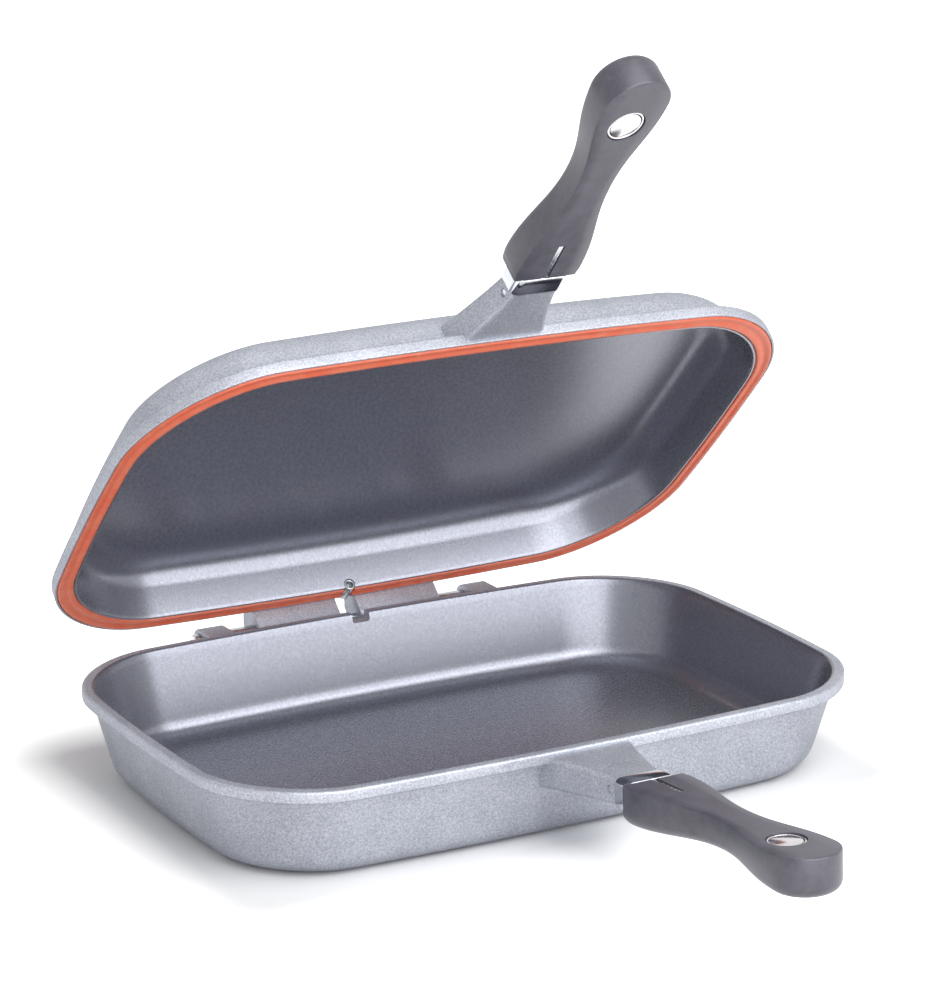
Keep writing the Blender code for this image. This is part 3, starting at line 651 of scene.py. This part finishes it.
def ear_section():
    middle = (EAR_OUTER + EAR_INNER) / 2
    top = -HINGE_Z - KNUCKLE_RADIUS
    foot = -HINGE_Z + KNUCKLE_RADIUS + EAR_GUSSET
    in_wall = [(side_y(LOWER, inner_inset(LOWER, depth) - WALL / 2, middle), -depth) for depth in (foot, top)]
    return in_wall + knuckle(90, -90)


def barrel_section():
    top = UPPER["face"] + FLANGE_HEIGHT - SOFT_EDGE
    in_flange = side_y(UPPER, UPPER["rim"] / 2)
    front = HINGE_Y - KNUCKLE_RADIUS
    back = HINGE_Y + KNUCKLE_RADIUS
    return knuckle(-180, 0) + [
        (back, top - BARREL_CHAMFER),
        (back - BARREL_CHAMFER, top),
        (in_flange, top),
        (in_flange, UPPER["face"] + GROOVE_DEPTH + GAP),
        (front, UPPER["face"] + SOFT_EDGE),
    ]


def add_knuckles(body, name, section, inner, outer):
    """Extrudes the section along X on each side, softens its ends, joins it on and bores the lot."""
    for start, end in ((-outer, -inner), (inner, outer)):
        piece = through_rings(name, [[(x, y, z) for y, z in section] for x in (start, end)])
        pick_faces(piece, lambda face: abs(face.normal.x) > FACING)
        bpy.ops.mesh.bevel(offset=SOFT_EDGE, segments=2, affect="EDGES")
        bpy.ops.object.mode_set(mode="OBJECT")
        combine(body, piece, "UNION")
    across = outer + OVERRUN
    combine(body, rod("pin_hole", PIN_RADIUS + PIN_PLAY, 0, HINGE_AXIS, -across, across), "DIFFERENCE")


# %% [markdown]
# ### The lug that carries the grip
#
# A flared neck grows out of the casting below its rim and narrows towards the grip, as cast handles do. Its
# section is a rectangle with round corners, drawn at fifteen places between the wall and the tip. A spigot
# at its end goes into the collar, and a pocket in it takes the steel tang.
#
# Handle pieces are drawn in a frame of their own: x across, y out from the pan, and z down into the grip
# from the plane where the two grips meet. The lower handle is the mirror image of the upper one.

# %% The lug, in the pans' frame
LUG_LENGTH = 0.037
LUG_ROOT_WIDTH = 0.044
LUG_TIP_WIDTH = 0.0215
LUG_ROOT_HEIGHT = 0.0155
LUG_TIP_HEIGHT = 0.0125
LUG_ROOT_DROP = 0.0020
LUG_CLEARANCE = 0.0006
LUG_ROUND = 0.0026
LUG_RINGS = 14
LUG_TIP = LUG_LENGTH - HANDLE_ROOT
LUG_MIDDLE = LUG_CLEARANCE + LUG_TIP_HEIGHT / 2
FLARE_POWER = 1.25


def lug_width(share):
    return LUG_TIP_WIDTH + (LUG_ROOT_WIDTH - LUG_TIP_WIDTH) * (1 - share) ** FLARE_POWER


def lug_ring(pan, share):
    """The lug's section at a share of the way from inside the wall to its tip."""
    ends = []
    for deeper in (0, 1):
        depth = LUG_ROOT_DROP + deeper * LUG_ROOT_HEIGHT
        height = LUG_CLEARANCE + deeper * LUG_TIP_HEIGHT
        wall = Vector((0, -side_y(pan, inner_inset(pan, depth) - WALL / 2), pan["face"] + pan["side"] * depth))
        ends.append(wall.lerp(HANDLE_PLACE @ Vector((0, LUG_TIP, pan["side"] * height)), share))
    near, far = ends
    middle = (near + far) / 2
    upright = (far - near).normalized()
    section = rounded_rectangle(lug_width(share) / 2, (far - near).length / 2, LUG_ROUND)
    return [middle + upright * height + Vector((x, 0, 0)) for x, height in section]


# %% [markdown]
# The tang is a flat steel strip. Half of it sits in the lug, held by a cross pin, and half in the grip, held
# by a cross screw. Its measures are given here, because the lug is cut for it first.

# %% Cutting the lug for the tang
SPIGOT_WIDTH = 0.016
SPIGOT_HEIGHT = 0.0090
TANG_THICKNESS = 0.0024
TANG_HEIGHT = 0.0070
TANG_DEPTH = 0.0030
TANG_MIDDLE = TANG_DEPTH + TANG_HEIGHT / 2
TANG_IN_LUG = 0.019
TANG_IN_GRIP = 0.028
TANG_PIN_RADIUS = 0.00175
TANG_PIN_PLACE = 0.0145


def to_handle(piece, pan):
    """From the handle's own frame to the pans' frame, mirrored for the lower handle."""
    return placed(piece, HANDLE_PLACE @ Matrix.Diagonal((1, 1, pan["side"], 1)))


def handle_rod(name, pan, radius, out, start, end, sides=32):
    """A rod across the handle, through the middle of the tang's height."""
    return to_handle(rod(name, radius, 0, (out, TANG_MIDDLE), start, end, sides), pan)


def add_lug(body, pan):
    lug = through_rings("lug", [lug_ring(pan, step / LUG_RINGS) for step in range(LUG_RINGS + 1)])
    combine(body, lug, "UNION")
    low = (-SPIGOT_WIDTH / 2, LUG_TIP - FOOT_WIDTH, LUG_MIDDLE - SPIGOT_HEIGHT / 2)
    high = (SPIGOT_WIDTH / 2, -GAP, LUG_MIDDLE + SPIGOT_HEIGHT / 2)
    combine(body, to_handle(block("spigot", low, high), pan), "UNION")
    reach = LUG_ROOT_WIDTH / 2
    hole = handle_rod("pin_hole", pan, TANG_PIN_RADIUS + PIN_PLAY, -TANG_PIN_PLACE, -reach, reach)
    combine(body, hole, "DIFFERENCE")
    slot = TANG_THICKNESS / 2 + GAP
    low = (-slot, -TANG_IN_LUG - GAP, TANG_DEPTH - GAP)
    high = (slot, GAP, TANG_DEPTH + TANG_HEIGHT + GAP)
    combine(body, to_handle(block("tang_pocket", low, high), pan), "DIFFERENCE")


# %% [markdown]
# The lower casting has a notch at the back of its rim, where condensed water drips from the upper pan back
# into the lower one instead of down the outside.

# %% The lower casting
DRAIN_WIDTH = 0.009
DRAIN_DEPTH = 0.0042
DRAIN_ROUND = 0.0012


def make_lower_casting():
    body = casting("lower_casting", LOWER)
    add_knuckles(body, "ear", ear_section(), EAR_INNER, EAR_OUTER)
    rear = side_y(LOWER, 0.0)
    low = (-DRAIN_WIDTH / 2, rear - LOWER["rim"] - DRAIN_DEPTH, -DRAIN_DEPTH)
    notch = block("notch", low, (DRAIN_WIDTH / 2, rear + OVERRUN, OVERRUN))
    bevel_edges(notch, DRAIN_ROUND, 3)
    combine(body, notch, "DIFFERENCE")
    add_lug(body, LOWER)
    finished(body, LOWER, "lower_pan", "coated_aluminium")


make_lower_casting()

# %% [markdown]
# The upper casting gets its barrels, its own lug and a hole through the rim for the steam vent, which is a
# short steel tube. Its two end faces are inset and bridged, which bores it through with no cutter.

# %% The upper casting and the steam vent
VENT_RADIUS = 0.0025
VENT_BORE_RADIUS = 0.0018
VENT_PROUD = 0.0010
VENT_HEIGHT = UPPER["face"] - VENT_PROUD + VENT_RADIUS
VENT_INNER = side_y(UPPER, inner_inset(UPPER, VENT_HEIGHT - UPPER["face"]))
VENT_OUTER = side_y(UPPER, 0.0) + SOFT_EDGE
FINE_EDGE = 0.0002


def vent_rod(name, radius, overrun):
    return rod(name, radius, 1, (0, VENT_HEIGHT), VENT_INNER - overrun, VENT_OUTER + overrun)


def make_upper_casting():
    body = casting("upper_casting", UPPER, grooved=True)
    add_knuckles(body, "barrel", barrel_section(), BARREL_INNER, BARREL_OUTER)
    combine(body, vent_rod("vent_hole", VENT_RADIUS + GAP, OVERRUN), "DIFFERENCE")
    add_lug(body, UPPER)
    finished(body, UPPER, "upper_pan", "coated_aluminium")


def make_steam_vent():
    tube = vent_rod("steam_vent", VENT_RADIUS, 0.0)
    bore_through(tube, 1, VENT_RADIUS - VENT_BORE_RADIUS)
    bevel_edges(tube, FINE_EDGE)
    finished(tube, UPPER, "steam_vent_tube", "stainless_steel")


make_upper_casting()
make_steam_vent()

# %% [markdown]
# ## The seal
#
# A moulded silicone strip lies in the upper rim's groove. Two soft lips stand out of the groove, with a
# shallow valley between them. A curve with a bevel could draw it too, but rings keep it exactly on the rim's
# own outline. It stops at both sides of the steam vent, and a block cuts it there.

# %% The gasket
GASKET_PROUD = 0.0007
# The lips' shape, as (share of the half width, share of the rise), from the outer edge to the valley.
LIP_SHARES = (
    (1.0, 0.10), (0.96, 0.55), (0.84, 0.88), (0.66, 1.0), (0.46, 0.92),
    (0.28, 0.62), (0.12, 0.44), (0.0, 0.40),
)


def gasket_section():
    """(inset, depth) round the seal. Depth is negative where it stands out of the groove."""
    half = GASKET_WIDTH / 2
    middle = GASKET_SETBACK + half
    back = GROOVE_DEPTH - GAP
    section = [(middle - half, back), (middle + half, back)]
    rise = back / 2 + GASKET_PROUD
    for across, out in LIP_SHARES:
        section.append((middle + half * across, back / 2 - rise * out))
    for across, out in LIP_SHARES[-2::-1]:
        section.append((middle - half * across, back / 2 - rise * out))
    return section


def make_gasket():
    seal = through_rings("silicone_seal", [ring(UPPER, *point) for point in gasket_section()], band=True)
    gap = VENT_RADIUS + GAP
    rear = side_y(UPPER, 0.0)
    cutter = block("vent_gap", (-gap, rear - UPPER["rim"], -OVERRUN), (gap, rear + OVERRUN, 2 * OVERRUN))
    combine(seal, cutter, "DIFFERENCE")
    finished(seal, UPPER, "gasket", "silicone")


make_gasket()

# %% [markdown]
# ## The hinge's loose pieces
#
# A drawn steel pin runs the whole width, two spacers keep the barrels centred between the ears, and a
# pressed cap closes each end. A cap is a short rod with a domed outer rim and a blind bore from the inside.

# %% Pin, spacers and caps
SPACER_RADIUS = 0.0045
SPACER_EDGE = 0.0004
CAP_RADIUS = 0.0048
CAP_THICKNESS = 0.0028
CAP_DOME = 0.0012
PIN_END = EAR_OUTER + GAP + CAP_THICKNESS - CAP_DOME
PIN_EDGE = 0.0003
FINE_SIDES = 48


def hinge_rod(name, radius, start, end):
    return rod(name, radius, 0, HINGE_AXIS, start, end, FINE_SIDES)


def make_pin():
    pin = hinge_rod("hinge_rod", PIN_RADIUS, -PIN_END, PIN_END)
    bevel_edges(pin, PIN_EDGE)
    finished(pin, LOWER, "hinge_pin", "stainless_steel")


def make_spacer(side, label):
    spacer = hinge_rod(f"{label}_spacer", SPACER_RADIUS, side * (BARREL_OUTER + GAP), side * (EAR_INNER - GAP))
    bore_through(spacer, 0, SPACER_RADIUS - PIN_RADIUS - PIN_PLAY)
    bevel_edges(spacer, SPACER_EDGE)
    finished(spacer, LOWER, f"hinge_spacer_{label}", "stainless_steel")


def make_cap(side, label):
    start = side * (EAR_OUTER + GAP)
    cap = hinge_rod(f"{label}_cap", CAP_RADIUS, start, start + side * CAP_THICKNESS)
    pick_faces(cap, lambda face: face.normal.x * side > FACING)
    bpy.ops.mesh.bevel(offset=CAP_DOME, segments=5, affect="EDGES")
    pick_faces(cap, lambda face: face.normal.x * side < -FACING)
    bpy.ops.mesh.inset(thickness=CAP_RADIUS - PIN_RADIUS - PIN_PLAY)
    inwards = (side * (CAP_THICKNESS - CAP_DOME + GAP), 0, 0)
    bpy.ops.mesh.extrude_region_move(TRANSFORM_OT_translate={"value": inwards})
    bpy.ops.object.mode_set(mode="OBJECT")
    finished(cap, LOWER, f"hinge_cap_{label}", "stainless_steel")


make_pin()
for side, label in ((-1, "left"), (1, "right")):
    make_spacer(side, label)
    make_cap(side, label)

# %% [markdown]
# ## The handles
#
# The grip is broad at its root, slim at the neck and round at the tip. Seen from the side it is waisted too.
# Its outer edge has a full round, and the edge of the mating face is crisp. Every ring across it is found
# from one rule: how far a point lies from the edge says how far the round has dropped there.

# %% The grip's outline
GRIP_LENGTH = 0.1195
GRIP_TIP_RADIUS = 0.0150
GRIP_TIP = GRIP_LENGTH - GRIP_TIP_RADIUS
# (half width, out) at the root, the shoulder, the neck and where the round tip begins.
GRIP_PLACES = ((0.0145, GAP), (0.0151, 0.0055), (0.0084, 0.058), (GRIP_TIP_RADIUS, GRIP_TIP))
BEZIER_SHARE = 0.42
CURVE_STEPS = 40


def grip_side():
    """(half width, out) down one side, as cubic curves between the places, upright at each."""
    points = []
    for (w0, y0), (w1, y1) in zip(GRIP_PLACES, GRIP_PLACES[1:]):
        reach = BEZIER_SHARE * (y1 - y0)
        for step in range(CURVE_STEPS):
            t = step / CURVE_STEPS
            s = 1 - t
            weights = (s**3, 3 * s * s * t, 3 * s * t * t, t**3)
            width = sum(a * b for a, b in zip(weights, (w0, w0, w1, w1)))
            out = sum(a * b for a, b in zip(weights, (y0, y0 + reach, y1 - reach, y1)))
            points.append((width, out))
    return points + [(GRIP_TIP_RADIUS, GRIP_TIP)]


GRIP_SIDE = grip_side()


def half_width(out):
    if out >= GRIP_TIP:
        return math.sqrt(max(GRIP_TIP_RADIUS**2 - (out - GRIP_TIP) ** 2, 0.0))
    for (w0, y0), (w1, y1) in zip(GRIP_SIDE, GRIP_SIDE[1:]):
        if out <= y1:
            return w0 + (w1 - w0) * max(out - y0, 0.0) / (y1 - y0)
    return GRIP_TIP_RADIUS


def from_edge(x, out):
    """How far a point of the plan lies from the grip's outline."""
    if out > GRIP_TIP:
        return max(GRIP_TIP_RADIUS - math.hypot(x, out - GRIP_TIP), 0.0)
    return max(min(half_width(out) - abs(x), out - GAP), 0.0)


print(f"slimmest: {2000 * min(width for width, out in GRIP_SIDE):.1f} mm across")

# %% [markdown]
# Rings lie close together round the root's edge and the tip, and wider along the neck.

# %% The grip's rings
GRIP_THICKNESS = 0.0166
GRIP_WAIST = 0.0036
GRIP_OUTER_ROUND = 0.0045
GRIP_MATING_ROUND = 0.0008
MATING_CLEARANCE = 0.0002
CROSS_STEPS = 22
ROOT_STEPS, BODY_STEPS, TIP_STEPS = 6, 34, 18
LAST_TIP_ANGLE = math.radians(88.5)


def rounded_drop(distance, radius):
    """How far a round of that radius has dropped, at a distance in from the edge."""
    short = max(radius - distance, 0.0)
    return radius - math.sqrt(radius**2 - short**2)


def grip_ring(out):
    half = half_width(out)
    way = math.sin(math.pi * min(out / GRIP_LENGTH, 1.0))
    squeeze = 1 - GRIP_WAIST * way**2 / GRIP_THICKNESS
    crisp = min(GRIP_MATING_ROUND, half / 2)
    right = [half / 2, half - crisp, half - crisp / 4, half]
    mating = [-x for x in right[::-1]] + [0.0] + right
    section = [(x, rounded_drop(from_edge(x, out), GRIP_MATING_ROUND)) for x in mating]
    for step in range(CROSS_STEPS + 1):
        x = half * math.cos(math.pi * step / CROSS_STEPS)
        drop = rounded_drop(from_edge(x, out), GRIP_OUTER_ROUND)
        section.append((x, (GRIP_THICKNESS - drop) * squeeze))
    return [(x, out, MATING_CLEARANCE + depth) for x, depth in section]


def grip_stations():
    turns = [math.pi / 2 * step / ROOT_STEPS for step in range(ROOT_STEPS + 1)]
    root = [GAP + GRIP_OUTER_ROUND * (1 - math.cos(turn)) for turn in turns]
    body = [root[-1] + (GRIP_TIP - root[-1]) * step / BODY_STEPS for step in range(1, BODY_STEPS + 1)]
    turns = [LAST_TIP_ANGLE * step / TIP_STEPS for step in range(1, TIP_STEPS + 1)]
    return root + body + [GRIP_TIP + GRIP_TIP_RADIUS * math.sin(turn) for turn in turns]


print("rings in a grip:", len(grip_stations()))

# %% [markdown]
# The grip is cut for the tang, which shows in a slot at the root, for the screw that crosses it, and for
# the magnet's cup near the tip. A boolean suits these cuts, because they cross the rings at odd angles.

# %% Grips with their slots, seats and pockets
SLOT_LENGTH = 0.021
SCREW_PLACE = 0.016
SCREW_SEAT = 0.0100
SCREW_RADIUS = 0.0015
SCREW_HEAD_RADIUS = 0.0031
SCREW_HEAD_HEIGHT = 0.0022
SCREW_REACH = 0.0055
MAGNET_PLACE = GRIP_LENGTH - 0.0258
MAGNET_RADIUS = 0.0066
MAGNET_HEIGHT = 0.0034
CUP_RADIUS = 0.0079
CUP_BASE = 0.0010
CUP_RECESS = 0.0006
CUP_HEIGHT = MAGNET_HEIGHT + GAP + CUP_BASE
MAGNET_SIDES = 64


def magnet_rod(name, radius, start, end):
    """A rod square to the mating face on the magnet's axis, from one depth to another."""
    depths = (MATING_CLEARANCE + start, MATING_CLEARANCE + end)
    return rod(name, radius, 2, (0, MAGNET_PLACE), *depths, MAGNET_SIDES)


def handle_plate(name, pan, shape, half):
    """A plate with an outline of (out, depth) in the handle's frame, as thick as twice half."""
    rings = [[(x, out, depth) for out, depth in shape] for x in (-half, half)]
    return to_handle(through_rings(name, rings), pan)


def make_grip(pan):
    grip = through_rings(f"{pan['body']}_handle_grip", [grip_ring(out) for out in grip_stations()])
    to_handle(grip, pan)
    bottom, end = TANG_DEPTH + TANG_HEIGHT + GAP, TANG_IN_GRIP + GAP
    shape = [(-OVERRUN, -OVERRUN), (SLOT_LENGTH, -OVERRUN), (SLOT_LENGTH, TANG_DEPTH - GAP)]
    shape += [(end, TANG_DEPTH - GAP), (end, bottom), (-OVERRUN, bottom)]
    seat_start = -GRIP_PLACES[1][0] - OVERRUN
    cup = magnet_rod("cup_pocket", CUP_RADIUS + GAP, -OVERRUN, CUP_RECESS + CUP_HEIGHT + GAP)
    cutters = (
        handle_plate("slot", pan, shape, TANG_THICKNESS / 2 + GAP),
        handle_rod("hole", pan, SCREW_RADIUS + GAP, SCREW_PLACE, -SCREW_SEAT - OVERRUN, SCREW_REACH + GAP),
        handle_rod("seat", pan, SCREW_HEAD_RADIUS + GAP, SCREW_PLACE, seat_start, -SCREW_SEAT + GAP),
        to_handle(cup, pan),
    )
    for cutter in cutters:
        combine(grip, cutter, "DIFFERENCE")
    finished(grip, pan, f"{pan['body']}_grip", "bakelite")


# %% [markdown]
# The magnet is a plated disc in a steel cup. The cup is a cylinder whose open face is inset and pushed in,
# which leaves a wall of even thickness.

# %% Magnet and cup
def make_magnet(pan):
    label = pan["body"]
    magnet = magnet_rod(f"{label}_magnet_disc", MAGNET_RADIUS, CUP_RECESS, CUP_RECESS + MAGNET_HEIGHT)
    bevel_edges(magnet, PIN_EDGE)
    finished(to_handle(magnet, pan), pan, f"{label}_magnet", "nickel_plate")
    cup = magnet_rod(f"{label}_steel_cup", CUP_RADIUS, CUP_RECESS, CUP_RECESS + CUP_HEIGHT)
    pick_faces(cup, lambda face: face.normal.z < -FACING)
    bpy.ops.mesh.inset(thickness=CUP_RADIUS - MAGNET_RADIUS - GAP)
    bpy.ops.mesh.extrude_region_move(TRANSFORM_OT_translate={"value": (0, 0, MAGNET_HEIGHT + GAP)})
    bpy.ops.object.mode_set(mode="OBJECT")
    bevel_edges(cup, FINE_EDGE)
    finished(to_handle(cup, pan), pan, f"{label}_magnet_cup", "nickel_plate")


# %% [markdown]
# The tang's raised edge shows, bright, in the grip's slot. It is drawn as one flat outline and extruded to
# its thickness, as a punched strip is made. The cross pin ends just inside the lug's two sides.

# %% Tang and cross pin
TANG_PIN_RECESS = 0.0004
TANG_SUNK = 0.0004


def make_tang(pan):
    label, half = pan["body"], TANG_THICKNESS / 2
    top, bottom, rib_end = MATING_CLEARANCE + TANG_SUNK, TANG_DEPTH + TANG_HEIGHT, SLOT_LENGTH - GAP
    shape = [(-TANG_IN_LUG, TANG_DEPTH), (2 * GAP, TANG_DEPTH), (2 * GAP, top), (rib_end, top)]
    shape += [(rib_end, TANG_DEPTH), (TANG_IN_GRIP, TANG_DEPTH), (TANG_IN_GRIP, bottom), (-TANG_IN_LUG, bottom)]
    strip = handle_plate(f"{label}_steel_strip", pan, shape, half)
    bevel_edges(strip, FINE_EDGE)
    reach = half + OVERRUN
    for radius, out in ((TANG_PIN_RADIUS + PIN_PLAY, -TANG_PIN_PLACE), (SCREW_RADIUS + GAP, SCREW_PLACE)):
        combine(strip, handle_rod("hole", pan, radius, out, -reach, reach), "DIFFERENCE")
    finished(strip, pan, f"{label}_tang", "stainless_steel")
    end = lug_width((HANDLE_ROOT - TANG_PIN_PLACE) / LUG_LENGTH) / 2 - TANG_PIN_RECESS
    pin = handle_rod(f"{label}_cross_pin", pan, TANG_PIN_RADIUS, -TANG_PIN_PLACE, -end, end)
    bevel_edges(pin, PIN_EDGE)
    finished(pin, pan, f"{label}_tang_pin", "stainless_steel")


# %% [markdown]
# The cross screw has a rounded pan head, with a cross recess cut by two thin blocks, and a shank joined on.

# %% Cross screw
HEAD_ROUND = 0.0006
RECESS_ARM = 0.6 * SCREW_HEAD_RADIUS
RECESS_SLIT = 0.13 * SCREW_HEAD_RADIUS
RECESS_DEPTH = 0.55 * SCREW_HEAD_HEIGHT


def make_screw(pan):
    label, head_end = pan["body"], -SCREW_SEAT - SCREW_HEAD_HEIGHT
    screw = handle_rod(
        f"{label}_cross_screw", pan, SCREW_HEAD_RADIUS, SCREW_PLACE, head_end, -SCREW_SEAT, FINE_SIDES
    )
    bevel_edges(screw, HEAD_ROUND, 3)
    shank = handle_rod("shank", pan, SCREW_RADIUS, SCREW_PLACE, -SCREW_SEAT - OVERRUN / 2, SCREW_REACH)
    combine(screw, shank, "UNION")
    for along, up in ((RECESS_ARM, RECESS_SLIT), (RECESS_SLIT, RECESS_ARM)):
        low = (head_end - OVERRUN, SCREW_PLACE - along, TANG_MIDDLE - up)
        high = (head_end + RECESS_DEPTH, SCREW_PLACE + along, TANG_MIDDLE + up)
        combine(screw, to_handle(block("recess", low, high), pan), "DIFFERENCE")
    finished(screw, pan, f"{label}_grip_screw", "stainless_steel")


# %% [markdown]
# The flame guard is a chromed collar between lug and grip: a block with round long edges, opened at both
# ends. Four rings draw it, two outside and two inside, and the last is bridged back to the first.

# %% Flame guard, and every handle piece on both pans
GUARD_WIDTH = 0.0245
GUARD_HEIGHT = 0.0130
GUARD_WALL = 0.0016
GUARD_ROUND, GUARD_INNER_ROUND = 0.0032, 0.0018
GUARD_EDGE = 0.0005
GUARD_CORNER_STEPS = 6


def make_guard(pan):
    start = LUG_TIP + GAP
    outside, inside = (
        rounded_rectangle(GUARD_WIDTH / 2 - wall, GUARD_HEIGHT / 2 - wall, radius, GUARD_CORNER_STEPS)
        for wall, radius in ((0.0, GUARD_ROUND), (GUARD_WALL, GUARD_INNER_ROUND))
    )
    rings = [
        [(x, out, LUG_MIDDLE + depth) for x, depth in section]
        for section, out in ((outside, start), (outside, 0.0), (inside, 0.0), (inside, start))
    ]
    guard = through_rings(f"{pan['body']}_chrome_collar", rings, band=True)
    bevel_edges(guard, GUARD_EDGE, 3)
    finished(to_handle(guard, pan), pan, f"{pan['body']}_flame_guard", "chrome")


for pan in (LOWER, UPPER):
    for make in (make_guard, make_tang, make_screw, make_grip, make_magnet):
        make(pan)

# %% [markdown]
# ## Floor, light and camera
#
# The pan stands on a white table in a pale room. Both are pure white where the camera or a mirror-like
# surface looks at them, and dimmer in the light that they lend the pan. The table's white is a glow that
# fades out under the pan and close round it, where the real shadow has to show.

# %% White table and pale room
ROOM_LEVEL = 0.48
TABLE_SIZE = 12
SHADED_HALF = (0.145, 0.09, 0.0)
GLOW_STARTS, GLOW_IS_FULL = 0.01, 0.064
WHITE = linear("#FFFFFF")


def seen_ray(tree):
    """1 for a ray from the camera, a reflection or a pane of glass, and 0 for diffuse light."""
    path = add(tree, "ShaderNodeLightPath")
    seen = path.outputs["Is Camera Ray"]
    for kind in ("Is Glossy Ray", "Is Transmission Ray"):
        either = add(tree, "ShaderNodeMath", {"operation": "MAXIMUM"}, Value=seen)
        tree.links.new(path.outputs[kind], either.inputs[1])
        seen = either.outputs[0]
    return seen


def make_room():
    world = bpy.data.worlds.new("pale_room")
    world.use_nodes = True
    bpy.context.scene.world = world
    tree = world.node_tree
    background = tree.nodes["Background"]
    background.inputs["Color"].default_value = WHITE
    level = add(tree, "ShaderNodeMix", {"A": ROOM_LEVEL, "B": 1.0}, Factor=seen_ray(tree))
    tree.links.new(level.outputs[0], background.inputs["Strength"])


def distance_past(tree, half):
    """How far a point of the table lies outside a rectangle round the origin."""
    where = add(tree, "ShaderNodeTexCoord").outputs["Object"]
    for operation in ("ABSOLUTE", "SUBTRACT", "MAXIMUM"):
        step = add(tree, "ShaderNodeVectorMath", {"operation": operation}, Vector=where)
        if operation == "SUBTRACT":
            step.inputs[1].default_value = half
        where = step.outputs[0]
    return add(tree, "ShaderNodeVectorMath", {"operation": "LENGTH"}, Vector=where).outputs["Value"]


def make_table():
    select_only()
    bpy.ops.mesh.primitive_plane_add(size=TABLE_SIZE)
    table = added("white_table")
    look, tree, shader = new_material(
        "white_table", Roughness=0.9, Specular_IOR_Level=0.0, Emission_Color=WHITE
    )
    white = add(tree, "ShaderNodeMix", {"data_type": "RGBA"}, Factor=seen_ray(tree))
    white.inputs[6].default_value = linear("#E1E1E1")
    white.inputs[7].default_value = WHITE
    tree.links.new(white.outputs[2], shader.inputs["Base Color"])
    ramp = {"From Min": GLOW_STARTS, "From Max": GLOW_IS_FULL}
    away = add(tree, "ShaderNodeMapRange", ramp, Value=distance_past(tree, SHADED_HALF))
    glow = add(tree, "ShaderNodeMath", {"operation": "MULTIPLY"}, Value=away.outputs["Result"])
    tree.links.new(seen_ray(tree), glow.inputs[1])
    tree.links.new(glow.outputs[0], shader.inputs["Emission Strength"])
    table.data.materials.append(look)
    table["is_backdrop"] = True
    print("table:", TABLE_SIZE, "m wide")


make_room()
make_table()

# %% [markdown]
# Three lamps. A broad soft one hangs overhead and does nearly all the lighting. A big card in front shows in
# reflections only: the back walls of both pans mirror it as their bright bands, and its left end says how
# far the band runs. A weak fill in front lifts the near walls, and shows in no reflection.

# %% Lamps, as place, what each points at, size in metres and power in watts
LAMPS = {
    "overhead_softbox": ((0.3, -1.15, 1.8), (0, 0, 0), (1.8, 1.8), 27),
    "front_card": ((0.12, -1.6, 0.76), (0, 0.1, 0.08), (2.5, 1.6), 40),
    "front_fill": ((0.25, -1.5, 0.45), (0, 0, 0.1), (0.9, 0.6), 3),
}


def add_lamp(name, place, target, size, power):
    select_only()
    bpy.ops.object.light_add(type="AREA", location=place)
    lamp = bpy.context.object
    lamp.name = name
    lamp.data.shape = "RECTANGLE"
    lamp.data.size, lamp.data.size_y = size
    lamp.data.energy = power
    lamp.rotation_euler = (Vector(target) - Vector(place)).to_track_quat("-Z", "Y").to_euler()
    print(f"{name}: {power} W")
    return lamp


lamps = {name: add_lamp(name, *values) for name, values in LAMPS.items()}
lamps["front_card"].visible_diffuse = False
lamps["front_fill"].visible_glossy = False

# %% [markdown]
# The camera stands where the photograph was taken, front left and above, with a long lens. Its three axes
# were worked out from the outline of the lower rim in the photograph.

# %% Camera
CAMERA_PLACE = (-0.69987, -1.21789, 0.52692)
CAMERA_RIGHT = Vector((0.86632515, -0.49946918, 0.00335644))
CAMERA_UP = Vector((0.13437508, 0.23953404, 0.96154396))
LENS_MM, SENSOR_MM = 122.84, 36

camera = bpy.data.objects.new("camera", bpy.data.cameras.new("camera"))
bpy.context.scene.collection.objects.link(camera)
turn = Matrix((CAMERA_RIGHT, CAMERA_UP, CAMERA_RIGHT.cross(CAMERA_UP))).transposed().to_4x4()
camera.matrix_world = Matrix.Translation(CAMERA_PLACE) @ turn
camera.data.lens = LENS_MM
camera.data.sensor_width = SENSOR_MM
bpy.context.scene.camera = camera
bpy.context.scene.view_settings.view_transform = "Standard"
print(f"the camera is {Vector(CAMERA_PLACE).length:.2f} m from the pan")

# %% [markdown]
# ## The last measurements
#
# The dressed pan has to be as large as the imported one, so both boxes are written down.

# %% Both boxes
select_only()
visual_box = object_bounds()
for name, box in (("cad", cad_box), ("visual", visual_box)):
    print(name, "box", [tuple(round(v, 4) for v in corner) for corner in box])
